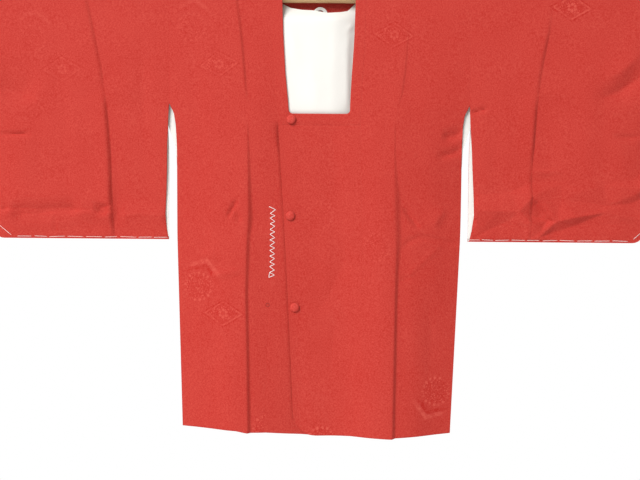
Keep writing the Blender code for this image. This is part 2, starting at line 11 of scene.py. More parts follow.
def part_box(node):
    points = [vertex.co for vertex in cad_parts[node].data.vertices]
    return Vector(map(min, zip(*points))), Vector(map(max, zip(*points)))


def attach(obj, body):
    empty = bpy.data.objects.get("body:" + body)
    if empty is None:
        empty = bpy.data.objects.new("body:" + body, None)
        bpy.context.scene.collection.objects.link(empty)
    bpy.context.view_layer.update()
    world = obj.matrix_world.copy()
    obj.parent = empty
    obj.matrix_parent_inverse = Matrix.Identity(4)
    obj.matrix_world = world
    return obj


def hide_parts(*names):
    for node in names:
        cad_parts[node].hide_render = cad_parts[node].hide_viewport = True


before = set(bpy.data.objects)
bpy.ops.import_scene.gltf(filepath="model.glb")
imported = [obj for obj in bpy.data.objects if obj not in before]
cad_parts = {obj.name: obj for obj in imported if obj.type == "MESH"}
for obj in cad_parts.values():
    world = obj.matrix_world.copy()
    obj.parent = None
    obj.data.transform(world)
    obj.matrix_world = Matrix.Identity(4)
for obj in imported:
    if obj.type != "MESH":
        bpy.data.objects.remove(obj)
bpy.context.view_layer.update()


def table(columns, *rows):
    """Rows of numbers whose columns have names."""
    row = namedtuple("Row", columns)
    return tuple(row(*values) for values in rows)


# A square-necked kimono coat of self-patterned crepe, hanging on a round wooden rod. Metres, +Z up, +X to
# the viewer's right, the front faces -Y, and the origin is the middle of the rod, on its axis. Each panel
# is one thin shell over its solid: crepe outside, white lining inside.

# The photograph's camera: level, rolled a little, square on to the coat
VIEW_WIDTH = 1.248
VIEW_DISTANCE = 1.5
FRONT_PLANE = -0.020
VIEW_MIDDLE = (0.0033, -0.481)
ROLL = math.radians(0.5)
SENSOR = 36.0

# Light, and the floor under the coat
SKY_FRONT = 0.42
SKY_BACK = 1.0
SKY_TURN = 0.75
KEY_POWER = 1125.0
KEY_SIZE = 5.5
KEY_PLACE = (-4.4, -7.0, 5.0)
BACK_POWER = 60.0
BACK_SIZE = 1.6
BACK_PLACE = (2.4, 3.0, 2.2)
LIGHT_AIM = (0.0, 0.0, -0.45)
FLOOR_LEVEL = -1.5
FLOOR_CORNERS = ((-2.8, -3.2), (2.8, 1.4))

# Rod and cloth
ROD_RADIUS = 0.0125
CLOTH = 0.0013
SHELL = 0.0011
COLLAR_CLOTH = 0.0016
COLLAR_SHELL = 0.0014
COLLAR_PROUD = COLLAR_CLOTH - CLOTH
LINING_SHELL = 0.0008
SLIT_SHELL = 0.0006
LINING_GAP = 0.0007
ROD_CLEARANCE = 0.0005
SHOULDER = ROD_RADIUS + ROD_CLEARANCE + CLOTH
SHOULDER_FADE = 0.02

# Seams and free edges. Sewn edges overlap by a hair, so that no light comes through between them.
SEAM_GAP = -0.00002
SEAM_EDGE = 0.0017
SEAM_DIP = 0.00006
SEAM_DIP_WIDTH = 0.003
BAR_DIP = 0.0007
BAR_DIP_WIDTH = 0.008
FREE_ROLL = 0.0006
FREE_ROLL_WIDTH = 0.0018

# Lengths down from the rod's axis
NECK_BOTTOM = -0.234
FRAME_SEAM = -0.256
ARMHOLE_FRONT = -0.215
WRIST_END = FRAME_SEAM
SLIT_END = -0.345
SLEEVE_BOTTOM = -0.482
BODY_LENGTH = 0.860

# Widths
SLEEVE_REACH = 0.643
SLEEVE_CORNER = 0.024
NECK_SEAM_BACK = {"left": 0.0955, "right": 0.0900}
COLLAR_WIDTH = 0.0205
COLLAR_TOP_DIP = 0.006
COLLAR_TOP_POWER = 2.6
NECK_ROUNDING = 0.007
FLAP_CORNER_WIDTH = 0.037
FLAP_CORNER_HEIGHT = 0.043

# How the front layers lie: the right front on top, the left front's hidden part tucked behind it
LIFT = 0.0021
LIFT_START = -0.03
LIFT_FULL = -0.20
LIFT_FADE_FROM = 0.082
LIFT_FADE_WIDTH = 0.100
TUCK = 0.0015
TUCK_WIDTH = 0.020

# Lining that shows
LINING_BACK_HALF = 0.200
LINING_BACK_TOP = -0.0075
LINING_BACK_BOTTOM = -0.620
LINING_BEHIND_COLLAR = 0.0030
LINING_BEHIND_LAP = 0.0065
LINING_SWELL = 1.0
LINING_SWELL_TOP = 0.045
LINING_SWELL_FOOT = -0.240
LINING_SWELL_DELAY = 0.15
LINING_SWELL_FADE = 0.25
LINING_SWELL_SIDES = ((-1, 0.085, 0.10), (1, 0.020, 0.09))
LINING_LAP_FROM = 0.006
LINING_LAP_WIDTH = 0.012
SLIT_LINING_WIDTH = 0.035
SLIT_LINING_TOP = -0.205
SLIT_LINING_BOTTOM = -0.330
SLIT_LINING_INSET = 0.001
SLIT_FORWARD = 0.44
FURI_FORWARD = 0.30
FURI_LINING_WIDTH = 0.045
FURI_LINING_PROUD = 0.0005
FURI_LINING_BOTTOM = -0.476
STRIP_FORWARD_TO = 0.85
STRIP_FORWARD_WIDTH = 0.5

# Hanger loop
LOOP_HALF = 0.0117
LOOP_HEIGHT = 0.0125
LOOP_FOOT = -0.0335
LOOP_RIBBON = 0.0056
LOOP_CLOTH = 0.0011
LOOP_BULGE = 0.0004
LOOP_TURN_MORE = 0.10

# How far each free or sewn edge lies from the middle of the coat, by height, and how much farther out the
# body's right side lies than its left
EDGES = table(
    "z body_front body_back right_more sleeve_left sleeve_right sleeve_back",
    (0, 0.2955, 0.2955, 0, 0.2955, 0.2955, 0.2955),
    (-0.215, 0.2955, 0.2993, 0, 0.2955, 0.2955, 0.2993),
    (-0.234, 0.2862, 0.2996, 0, 0.2966, 0.2964, 0.2996),
    (-0.256, 0.2825, 0.3, 0, 0.2974, 0.2972, 0.3),
    (-0.3, 0.2802, 0.2838, 0.0012, 0.2988, 0.3004, 0.2975),
    (-0.345, 0.28, 0.28, 0.0015, 0.299, 0.3024, 0.2965),
    (-0.39, 0.2794, 0.2794, 0.0017, 0.2998, 0.3048, 0.2964),
    (-0.43, 0.2789, 0.2789, 0.0018, 0.3012, 0.3062, 0.2962),
    (-0.46, 0.2785, 0.2785, 0.0017, 0.299, 0.302, 0.2958),
    (-0.482, 0.278, 0.278, 0.0016, 0.295, 0.2972, 0.295),
    (-0.87, 0.2637, 0.2637, -0.0013, 0.295, 0.2972, 0.295),
)

# Where the body lengths meet the collar frame and, below it, the front bands
FRONT_SEAMS = table(
    "z left right",
    (0, NECK_SEAM_BACK["left"], NECK_SEAM_BACK["right"]),
    (-0.09, 0.0922, 0.0877),
    (-0.13, 0.09, 0.0857),
    (-0.17, 0.0876, 0.0833),
    (-0.215, 0.0833, 0.0812),
    (-0.234, 0.0816, 0.0804),
    (-0.256, 0.08, 0.08),
    (-0.554, 0.0945, 0.0895),
    (-0.87, 0.1025, 0.1005),
)

# The seam round the back of the neck, by share of the way out from the middle to each shoulder
NECK_CURVE = table(
    "share z",
    (-1, 0),
    (-0.9, -0.008),
    (-0.77, -0.013),
    (-0.61, -0.0217),
    (-0.38, -0.0261),
    (-0.16, -0.0271),
    (0.16, -0.0332),
    (0.44, -0.0306),
    (0.6, -0.027),
    (0.77, -0.01),
    (0.9, -0.006),
    (1, 0),
)

# The flap's free front edge, which crosses to the viewer's left
FLAP_EDGE = table(
    "z edge",
    (-0.256, 0.08),
    (-0.364, 0.073),
    (-0.458, 0.0665),
    (-0.552, 0.061),
    (-0.643, 0.056),
    (-0.794, 0.048),
    (-0.87, 0.045),
)

# How deep and how wide the left front sinks beside that edge
FLAP_SINKS = table(
    "z depth width",
    (-0.249, 0, 0.006),
    (-0.262, 0.0032, 0.009),
    (-0.284, 0.0032, 0.008),
    (-0.32, 0.0018, 0.005),
    (-0.56, 0.0014, 0.004),
    (-0.8, 0.0014, 0.004),
    (-0.84, 0.0008, 0.004),
)

# The two storage creases on each side of the coat, as lines down the front and the back
CREASES = table(
    "z front_left front_right back_left back_right",
    (-0.008, -0.168, 0.172, -0.163, 0.176),
    (-0.065, -0.16, 0.1705, -0.16, 0.172),
    (-0.105, -0.155, 0.168, -0.1575, 0.1695),
    (-0.145, -0.151, 0.165, -0.155, 0.1665),
    (-0.195, -0.1465, 0.1585, -0.152, 0.1625),
    (-0.215, -0.145, 0.152, -0.151, 0.16),
    (-0.267, -0.1415, 0.146, -0.149, 0.157),
    (-0.365, -0.14, 0.1457, -0.1478, 0.1555),
    (-0.435, -0.139, 0.147, -0.1472, 0.155),
    (-0.5, -0.1415, 0.149, -0.147, 0.155),
    (-0.58, -0.1425, 0.148, -0.147, 0.1547),
    (-0.7, -0.139, 0.1465, -0.147, 0.1543),
    (-0.87, -0.135, 0.1445, -0.147, 0.154),
)

# How far the cloth swells along each crease at the hem, and the widths of its gentle side and of its tail
Fold = namedtuple("Fold", "height gentle tail")
FOLDS = {
    "front_left": Fold(0.019, 0.125, 0.110),
    "front_right": Fold(0.0200, 0.125, 0.145),
    "back_left": Fold(0.011, 0.110, 0.070),
    "back_right": Fold(0.013, 0.110, 0.080),
}
FOLD_GROWTH = 0.95

# The sharp drop on each crease's +X side, in millimetres: how wide it is and how deep
DROPS = table(
    "z front_left front_left_drop front_right front_right_drop back_left back_left_drop back_right "
    "back_right_drop",
    (-0.008, 8, 1.9, 7, 0.2, 12, 0.8, 12, 0.6),
    (-0.06, 8, 2.4, 6, 0.2, 11, 1.4, 11, 1),
    (-0.1, 7, 2.6, 5.5, 1, 10, 1.9, 9, 1.6),
    (-0.165, 6.5, 2.6, 5.5, 1.3, 8, 1.8, 8, 1.7),
    (-0.195, 7, 1.3, 5.5, 1.1, 8, 0.8, 8, 1.2),
    (-0.212, 7, 0.1, 5, 0.3, 7, 0.1, 7, 0.4),
    (-0.25, 5, 0, 4, 0.2, 6, 0.2, 6, 0.1),
    (-0.27, 4.5, 1.2, 4, 0.8, 6, 1, 5, 0.8),
    (-0.31, 6.5, 2.6, 4.5, 1.1, 7, 1.9, 6, 1.5),
    (-0.345, 8, 3.4, 7.5, 2, 8, 2.7, 8, 2.3),
    (-0.39, 10, 5.2, 15, 5, 10, 3.8, 12, 3.6),
    (-0.42, 11, 6.2, 15, 5.6, 12, 4.4, 14, 4.2),
    (-0.44, 12, 6.8, 15, 5.6, 12, 4.2, 12, 3.8),
    (-0.46, 11, 6.2, 15, 5.6, 10, 3.6, 10, 3.6),
    (-0.475, 9, 4.6, 15, 5.6, 9, 3.4, 9, 3.6),
    (-0.5, 9.5, 5.2, 13, 5.8, 9, 3.7, 9.5, 3.8),
    (-0.54, 9, 5, 10.5, 5.6, 9, 3.7, 10, 4),
    (-0.6, 8, 4.8, 9, 5.2, 9, 3.8, 10, 4.2),
    (-0.87, 8.5, 6, 9, 6.4, 10, 4.2, 11, 4.6),
)

# The crease down each sleeve, the same line on its back, and how strong it is on each
SLEEVE_CREASES = table(
    "z left right left_share right_share back_share",
    (0, -0.459, 0.4595, 0, 0, 0),
    (-0.014, -0.4562, 0.458, 0.65, 0.05, 0.15),
    (-0.038, -0.4508, 0.4545, 0.7, 0.15, 0.4),
    (-0.07, -0.444, 0.4515, 0.7, 0.6, 0.5),
    (-0.098, -0.4385, 0.446, 0.72, 0.85, 0.8),
    (-0.138, -0.43, 0.4386, 0.66, 0.75, 0.8),
    (-0.162, -0.426, 0.435, 0.75, 0.7, 0.9),
    (-0.193, -0.4225, 0.4315, 0.3, 0.3, 0.5),
    (-0.206, -0.4205, 0.43, 0.6, 0.7, 0.6),
    (-0.22, -0.4185, 0.429, 1.3, 1.05, 0.7),
    (-0.252, -0.4152, 0.4272, 1.4, 1.3, 0.8),
    (-0.292, -0.4118, 0.4248, 1.45, 1.35, 0.8),
    (-0.318, -0.41, 0.4222, 1.5, 0.9, 0.9),
    (-0.34, -0.4092, 0.4205, 1.5, 0.45, 1),
    (-0.362, -0.4082, 0.4203, 1.5, 0.8, 1),
    (-0.392, -0.407, 0.4207, 1.45, 0.9, 0.9),
    (-0.418, -0.4052, 0.4202, 1.1, 0.6, 0.8),
    (-0.44, -0.404, 0.42, 1.1, 0.35, 0.8),
    (-0.482, -0.4, 0.419, 1.2, 0.8, 0.5),
)
SLEEVE_FOLD_DROP = 0.0040
SLEEVE_FOLD_WIDTH = 0.0095
SLEEVE_FOLD_SWELL = 0.080
SLEEVE_FOLD_TAIL = 0.110
SLEEVE_FOLD_HEIGHT = 0.0015
SLEEVE_FOLD_SIDE = 0.012

# Half the depth of the hanging cloth: at the body's side edge, in the sleeve, and at its outer edge
DEPTHS = table(
    "z body_side sleeve sleeve_outer",
    (0, SHOULDER, SHOULDER, SHOULDER),
    (-0.215, 0.0086, 0.0086, 0.0086),
    (-0.256, 0.0076, 0.0076, 0.0045),
    (-0.3, 0.005, 0.0068, SEAM_EDGE),
    (-0.345, SEAM_EDGE, 0.0059, SEAM_EDGE),
    (-0.46, SEAM_EDGE, 0.0036, SEAM_EDGE),
    (-0.474, SEAM_EDGE, 0.0032, SEAM_EDGE),
    (-0.482, SEAM_EDGE, SEAM_EDGE, SEAM_EDGE),
    (-0.87, SEAM_EDGE, SEAM_EDGE, SEAM_EDGE),
)
BODY_DEPTH_HEM = 0.0130
BODY_RISE = 0.100
SLEEVE_RISE = 0.050
EDGE_RISE = 0.012
SLEEVE_FOOT_RISE = 0.02
CRUMPLE_FOOT_RISE = 0.006

# The hem's height across the coat
HEM = table(
    "x z",
    (-0.3, -0.848),
    (-0.157, -0.853),
    (-0.136, -0.857),
    (-0.099, -0.857),
    (-0.032, -0.862),
    (0, -0.864),
    (0.065, -0.863),
    (0.145, -0.866),
    (0.152, -0.865),
    (0.3, -0.858),
)

# Creases, in millimetres: points, left, right, height, fade. Each runs along its points and
# falls off to its left and right, as one goes from the first to the last. A height below 0 is a trough. It
# fades over a share of each end.
WRINKLES = {
    "body_front": (
        (((-158, -399), (-168, -421), (-180, -444)), 4, 4, -6, 0.35),
        (((-164, -424), (-150, -452)), 4, 4.6, -6, 0.4),
        (((-238, -513), (-214, -510), (-190, -524)), 9, 11, 2.6, 0.4),
        (((-228, -545), (-192, -541)), 8, 7, -1.8, 0.4),
        (((-212, -554), (-177, -546), (-140, -538)), 5, 7, 2.4, 0.3),
        (((238, -279), (262, -275), (306, -262)), 11, 7.5, -6.6, 0.25),
        (((226, -318), (262, -309), (306, -292)), 7, 6, -5, 0.3),
        (((179, -321), (192, -308)), 3, 3.5, 1, 0.4),
        (((163, -414), (178, -432), (199, -460)), 5.2, 4.2, -5, 0.3),
        (((252, -414), (234, -438), (222, -462)), 8, 16, 3.4, 0.4),
        (((160, -503), (176, -484), (198, -474), (236, -479), (286, -492)), 5, 4, -3, 0.2),
        (((156, -560), (182, -552)), 4, 5, -2.4, 0.4),
        (((250, -482), (204, -522), (156, -566)), 3.6, 3.4, 1.5, 0.3),
        (((62, -470), (48, -530), (22, -590), (-12, -640)), 26, 22, -2.4, 0.4),
        (((40, -610), (30, -680), (24, -760)), 20, 24, -1.6, 0.45),
        (((-30, -300), (-8, -360), (4, -430)), 24, 20, 1.1, 0.45),
        (((-226, -600), (-232, -700), (-236, -800)), 22, 20, 1.4, 0.4),
        (((214, -560), (222, -660), (219, -770)), 24, 20, -1.6, 0.4),
    ),
    "sleeve_right_front": (
        (((548, -172), (591, -146), (630, -112), (690, -56)), 34, 15, 5, 0.35),
        (((424, -396), (436, -415), (449, -436)), 9, 9, -4.2, 0.3),
        (((586, -271), (612, -277), (650, -271)), 4, 4, -2.4, 0.35),
        (((534, -198), (560, -194), (591, -183), (630, -157), (690, -112)), 16, 20, -8.5, 0.35),
        (((573, -272), (604, -274), (650, -269)), 4.5, 4.5, -2.6, 0.3),
        (((412, -342), (448, -344), (486, -341)), 4, 4.5, 2.2, 0.35),
        (((290, -231), (312, -225), (336, -219)), 3.6, 4.2, -5, 0.35),
    ),
    "sleeve_left_front": (
        (((-660, -277), (-610, -278), (-562, -276)), 4, 4, -3, 0.2),
        (((-634, -431), (-610, -424), (-580, -423), (-518, -426), (-470, -426), (-432, -425), (-407, -420)),
         12, 6, -2.6, 0.1),
        (((-650, -428), (-560, -434), (-500, -431), (-396, -430)), 50, 19, 7, 0.08),
        (((-612, -424), (-584, -433), (-552, -434), (-520, -427), (-462, -425)), 17, 13, -9, 0.2),
        (((-448, -430), (-424, -430), (-402, -426)), 12, 6, -8, 0.45),
        (((-656, -424), (-630, -427), (-606, -421)), 12, 7, -8, 0.35),
        (((-398, -437), (-350, -432), (-290, -438)), 15, 22, 4.5, 0.2),
        (((-448, -408), (-428, -421), (-402, -415)), 5, 4, -3, 0.4),
        (((-519, -433), (-519, -476)), 4, 4, -1.5, 0.3),
        (((-710, -168), (-640, -180), (-592, -194), (-552, -214)), 38, 20, -8, 0.25),
        (((-660, -277), (-600, -279), (-560, -278)), 4, 4, -1.8, 0.3),
        (((-344, -70), (-350, -170), (-346, -300)), 22, 26, -1.4, 0.4),
    ),
    "body_back": (
        (((-205, -380), (-190, -408), (-182, -430)), 4, 4, -1.1, 0.35),
        (((-262, -505), (-236, -500), (-208, -512)), 9, 11, 1.4, 0.4),
        (((262, -288), (240, -294), (216, -304)), 5, 6, -1.1, 0.3),
        (((204, -436), (222, -452), (246, -462)), 5, 4, -1.1, 0.3),
        (((-58, -640), (-30, -700), (-22, -790)), 26, 22, -1.9, 0.4),
        (((48, -650), (66, -720), (60, -820)), 22, 26, 1.8, 0.4),
        (((232, -560), (226, -680), (238, -780)), 24, 20, -1.4, 0.4),
        (((-222, -590), (-214, -690), (-222, -800)), 22, 24, 1.4, 0.4),
    ),
    "sleeve_left_back": (
        (((-404, -388), (-450, -396), (-506, -401), (-560, -410), (-632, -404)), 6, 15, -2.4, 0.15),
        (((-560, -424), (-500, -438), (-440, -462), (-424, -476)), 22, 9, 3.5, 0.25),
        (((-545, -120), (-590, -146), (-640, -180)), 18, 26, -3.5, 0.35),
        (((-340, -260), (-352, -350), (-350, -430)), 20, 20, -1.3, 0.4),
    ),
    "sleeve_right_back": (
        (((409, -428), (452, -431), (516, -430), (580, -433), (634, -431)), 13, 5, -2.4, 0.15),
        (((556, -196), (598, -190), (640, -176)), 26, 16, -3.5, 0.35),
        (((520, -434), (518, -476)), 3, 3, -0.8, 0.3),
        (((350, -120), (344, -210), (348, -300)), 24, 22, 1.3, 0.4),
    ),
    "lining": (
        (((56, -60), (53, -110), (54, -170), (56, -236)), 5, 9, 2.4, 0.25),
        (((46, -74), (56, -64), (68, -50)), 4, 5, 1.9, 0.35),
        (((-64, -50), (-52, -90), (-44, -150)), 12, 16, 1.4, 0.4),
        (((-20, -120), (-8, -180), (-12, -250)), 20, 22, 1.3, 0.45),
        (((24, -40), (18, -90), (22, -150)), 14, 16, -0.8, 0.45),
    ),
}
MILLIMETRE = 0.001
CREASE_REACH = 2.2

# The crumpled foot of the sleeve on the viewer's right: flat facets between creases. Each point is given in
# millimetres with how far the cloth stands out there, and each line names the points that a crease joins.
CRUMPLE_POINTS = {
    "apex": (422, -391, 8.6), "base_left": (393, -422, 6.2), "base_middle": (419, -430, 0),
    "base_right": (452, -439, -1.6), "light_left": (374, -440, 0.6), "light_middle": (422, -447, 7.4),
    "pleat_foot": (421, -474, 2.4), "pleat_left": (403, -458, 0.7), "pleat_right": (438, -461, 4.6),
    "crest_left": (466, -441, 9.8), "crest_right": (505, -432, 11.4), "wedge_tip": (566, -422, 5),
    "foot_right": (505, -448, -1.1), "foot_middle": (462, -463, -0.8), "foot_left": (432, -474, 4.4),
    "trough_left": (478, -399, 2), "trough_middle": (569, -408, -2.6), "trough_right": (643, -402, -3),
    "band_top": (643, -378, 7.7), "below_tip": (568, -446, 2.2), "shelf_left": (309, -420, 8.4),
    "shelf_middle": (352, -421, 7.6), "edge_left": (309, -472, -1), "edge_upper_left": (309, -390, 0),
    "upper_left": (376, -384, 0), "upper_middle": (422, -362, 0), "upper_right": (478, -366, 0),
    "upper_far": (560, -368, 0), "edge_upper_right": (643, -352, 0), "edge_right": (643, -440, 0.7),
    "bottom_right": (643, -480, 0), "bottom_far": (569, -480, 0), "bottom_middle": (476, -481, 0),
    "bottom_pleat": (403, -480, 0), "bottom_left": (309, -481, 0),
}
CRUMPLE_LINES = (
    ("apex", "base_left", "base_middle", "base_right", "apex", "base_middle", "light_middle", "pleat_foot"),
    ("apex", "trough_left", "trough_middle", "trough_right"),
    ("apex", "crest_left"),
    ("trough_middle", "band_top"),
    ("base_left", "light_left", "light_middle", "base_right", "crest_left", "crest_right", "wedge_tip"),
    ("wedge_tip", "foot_right", "foot_middle", "foot_left", "crest_left"),
    ("light_left", "pleat_left", "bottom_pleat"),
    ("light_middle", "pleat_right", "foot_left"),
    ("upper_middle", "apex"),
    ("shelf_left", "shelf_middle", "base_left"),
    ("trough_middle", "wedge_tip"),
    ("shelf_left", "edge_upper_left"),
)

# Faint standing waves in the hanging cloth: height, the distance between waves across and down, and phase
RIPPLES = table(
    "height across down phase",
    (0.00045, 0.23, 1.7, 0.4),
    (0.0003, 0.091, -1.1, 2.1),
    (0.00018, 0.053, 0.7, 4),
)
RIPPLE_FULL = 0.30
BACK_PHASE = 1.7

# Self-coloured motifs woven into each piece: face, kind, x and z in millimetres, how far each is turned,
# and how much it shows
MOTIFS = {
    "body_left": (
        ("front", "round", -252, -66, 0.1, 0.9), ("front", "rhombus", -197, -139, -0.1, 1.1),
        ("front", "round", -235, -574, 0.33, 1.9), ("front", "rhombus", -184, -626, 0.03, 1.5),
        ("front", "ring", -96, -850, 0.2, 2.2), ("back", "rhombus", -224, -118, 0.05, 0.6),
        ("back", "round", -92, -196, -0.1, 0.6), ("back", "rhombus", -70, -478, 0.08, 0.8),
        ("back", "round", -210, -404, 0.2, 0.8), ("back", "rhombus", -198, -742, -0.06, 0.8),
        ("back", "round", -66, -690, 0.12, 0.6),
    ),
    "body_right": (
        ("front", "rhombus", 145, -79, 0.06, 1.2), ("front", "ring", 118, -22, -0.1, 0.5),
        ("front", "ring", 112, -494, 0.15, 1), ("front", "round", 233, -776, -2.75, 2.2),
        ("back", "round", 216, -90, 0.1, 0.6), ("back", "rhombus", 86, -250, -0.06, 0.8),
        ("back", "round", 74, -538, 0.18, 0.8), ("back", "rhombus", 212, -452, 0.06, 0.6),
        ("back", "rhombus", 96, -796, 0.04, 0.8), ("back", "round", 222, -700, -0.12, 0.8),
    ),
    "band": (
        ("front", "ring", 1, -434, 0.05, 0.8), ("front", "ring", 10, -874, -0.05, 2.4),
    ),
    "sleeve_left": (
        ("front", "round", -566, -92, 0.15, 0.8), ("front", "rhombus", -506, -150, -0.05, 0.8),
        ("back", "rhombus", -560, -96, 0.06, 0.8), ("back", "round", -380, -178, 0.15, 0.6),
        ("back", "round", -520, -344, -0.1, 0.6),
    ),
    "sleeve_right": (
        ("front", "rhombus", 493, -22, 0.05, 1.8), ("front", "ring", 571, -248, 0.2, 0.35),
        ("front", "ring", 382, -462, -0.15, 0.8), ("back", "round", 548, -104, 0.1, 0.6),
        ("back", "rhombus", 392, -228, 0.05, 0.8), ("back", "rhombus", 536, -372, -0.08, 0.8),
    ),
}

# Basting along each sleeve's bottom: where the dashes that show on the front begin and end, in millimetres
DASHES = {
    "left": ((-594, -566), (-560, -535), (-531, -500), (-495, -464), (-459, -426), (-421, -397),
             (-391, -359), (-355, -328), (-325, -297)),
    "right": ((298, 319), (322, 345), (349, 377), (380, 408), (411, 436), (442, 472), (476, 505),
              (511, 541), (545, 575), (580, 611)),
}
DASH_LEVEL = -0.4782
CORNER_DASHES = {
    "left": ((-0.6050, -0.4765), (-0.6290, -0.4570)),
    "right": ((0.6215, -0.4740), (0.6355, -0.4620)),
}
DASH_SAG = 0.0007
DASH_SAG_TURN = 2.3
DASH_SAG_END = 0.6
BACK_STITCH = 0.0045
BASTING = 0.00032
STITCH_ARCH = 1.6
STITCH_POWER = 0.4
STITCH_SUNK = 0.8

# Zigzag basting over the pocket's mouth, and the small ring of red thread
POCKET_THREAD = 0.00050
POCKET_TOP = -0.4185
POCKET_BOTTOM = -0.5450
POCKET_NEAR = -0.0850
POCKET_FAR = -0.0945
POCKET_TEETH = 12
POCKET_WANDER = 0.0008
POCKET_WANDER_TURN = 2.1
POCKET_START = ((POCKET_FAR - 0.0022, POCKET_TOP + 0.002), (POCKET_NEAR + 0.001, POCKET_TOP - 0.0040))
POCKET_TAIL = (-0.0015, -0.0100)
POCKET_CLOSE = 0.0055
RING_PLACE = (-0.0977, -0.6085)
RING_RADIUS = 0.0035
RING_THREAD = 0.00034
RING_TURN = 1.93 * math.pi

SIGNS = {"left": -1, "right": 1}
OUTWARD = {"front": -1, "back": 1}

# Colours, in linear light
CREPE_RED = (0.460, 0.0375, 0.0250)
# The crepe's grain runs at random between its dark and light tone; the light tone's extra green and blue is
# painted sheen, glints off the pebbles
LIGHT_TONE_AND_GLINT = (1.21, 2.00, 2.20)
DARK_TONE = (0.79, 0.06, 0.02)
# The buttons are covered in the coat's own crepe; their red is painted lighter, a painted highlight for
# domes that face up to the light
BUTTON_RED_PAINTED_LIGHTER = (0.520, 0.0500, 0.0350)
LINING_WHITE = (0.760, 0.735, 0.690)
THREAD_WHITE = (0.92, 0.91, 0.88)
THREAD_RED = (0.200, 0.020, 0.014)
WOOD_LIGHT = (0.62, 0.40, 0.20)
WOOD_DARK = (0.50, 0.30, 0.135)
FLOOR_COLOUR = (0.80, 0.80, 0.79)

# Motifs, in millimetres: half a rhombus, how far each reaches from its middle, and the step between front
# and back. Then how strongly they tint the crepe, and the millimetres in a metre.
RHOMBUS_WIDE = 42.0
RHOMBUS_HIGH = 26.0
MOTIF_REACH = 66.0
SIDE_STEP = 1000.0
MOTIF_STRENGTH = 0.15
MILLIMETRES = 1000.0

# How finely the grids are divided
ROW_STEP = 0.0042
COLUMN_STEP = 0.0038
SLEEVE_COLUMN_STEP = 0.0031
SLEEVE_FINE_FROM = -0.370
SLEEVE_FINE_STEP = 0.0021
BORDER = (0.0006, 0.0016, 0.0036)
SHOULDER_STEPS = 20
CORNER_STEPS = 10
BORDER_CLEAR = 0.001
RIM_ANGLE = math.radians(50)
NECK_COLUMNS = 49
LINING_COLUMNS = 97
LINING_ROWS = 121
STRIP_COLUMNS = 13
STRIP_STEP = 0.004
COLLAR_FINE = 0.012
COLLAR_FINE_STEP = 0.0015
HEM_SHARES = (0.9930, 0.9970, 0.9989, 1.0)
BAND_RUN = np.concatenate([np.linspace(0.0, 0.950, 36)[1:], [0.972, 0.988, 0.996, 1.0]])
BAR_RUN = np.concatenate([[0.0, 0.006, 0.014, 0.03], np.linspace(0.06, 0.94, 23), [0.955, 0.97, 0.985, 1.0]])

# Rows at the hem, and columns at the cuff, that have crepe on both sides
HEM_FACING = 6
CUFF_FACING = 4

# Steps across a body length: where the fine part ends outside and inside of its crest, and the steps there
BODY_COUNTS = {"left": (0.016, -0.024, (5, 7, 3)), "right": (0.022, -0.016, (3, 7, 5))}

# Where the counted parts of a body length and a sleeve begin and end
BODY_COUNT_EDGE = 0.284
BODY_COUNT_SEAM = 0.088
SLEEVE_CROSSING = (9, 7)
SLEEVE_COUNT_EDGE = 0.302
COUNT_LEVEL = -0.4
CREST_BEFORE = 0.015
CREST_AFTER = 0.010


# Small sums

def mix(a, b, share):
    return a + (b - a) * share


def ease(value):
    """Smooth step from 0 to 1."""
    v = np.clip(value, 0.0, 1.0)
    return v * v * (3 - 2 * v)


def rise(value):
    """Fast start from 0 and a soft end at 1, as cloth rounds away from a seam."""
    v = np.clip(value, 0.0, 1.0)
    return 1 - (1 - v) ** 2


def at(rows, column, key, key_column="z"):
    """A table's column at heights, or at other keys, straight between the rows."""
    rows = sorted(rows, key=lambda row: getattr(row, key_column))
    keys, values = ([getattr(row, name) for row in rows] for name in (key_column, column))
    return np.interp(key, keys, values)


# Where the surface of the coat lies

def hem_height(x):
    return at(HEM, "z", x, "x")


def fold_relief(across, swell, gentle, tail, drop, width):
    """A crease's height by way across it: gentle before its line, then a sharp drop and a long tail."""
    before = swell * ease(1 + across / gentle)
    after = (swell - drop) * (1 - ease(across / tail)) + drop * (1 - ease(across / width))
    return np.where(across <= 0, before, after)


def crease_height(x, z, points, left, right, height, fade):
    """The height that one listed crease adds at each place."""
    points = np.array(points, float) * MILLIMETRE
    lengths = np.hypot(*np.diff(points, axis=0).T)
    nearest = np.full(np.shape(x), np.inf)
    across = np.zeros(np.shape(x))
    along = np.zeros(np.shape(x))
    passed = 0.0
    for start, stop, length in zip(points, points[1:], lengths):
        way = (stop - start) / length
        run = np.clip((x - start[0]) * way[0] + (z - start[1]) * way[1], 0.0, length)
        side = (z - start[1]) * way[0] - (x - start[0]) * way[1]
        away = np.hypot(x - start[0] - run * way[0], z - start[1] - run * way[1])
        closer = away < nearest
        nearest = np.where(closer, away, nearest)
        across = np.where(closer, side, across)
        along = np.where(closer, passed + run, along)
        passed += length
    wide = np.where(across > 0, left, right) * MILLIMETRE
    share = along / passed
    ends = ease(share / fade) * ease((1 - share) / fade)
    return height * MILLIMETRE * ends * (1 - np.clip(nearest / (CREASE_REACH * wide), 0.0, 1.0)) ** 2


def sleeve_relief(across):
    """A sleeve crease's height by way across it: it falls to the line, faster and faster, and tails off."""
    start = across + SLEEVE_FOLD_WIDTH
    before = SLEEVE_FOLD_HEIGHT * ease(1 + start / SLEEVE_FOLD_SWELL)
    fall = SLEEVE_FOLD_HEIGHT - SLEEVE_FOLD_DROP * np.clip(start / SLEEVE_FOLD_WIDTH, 0.0, 1.0) ** 2
    after = (SLEEVE_FOLD_HEIGHT - SLEEVE_FOLD_DROP) * (1 - ease(across / SLEEVE_FOLD_TAIL))
    return np.where(start < 0, before, np.where(across < 0, fall, after))


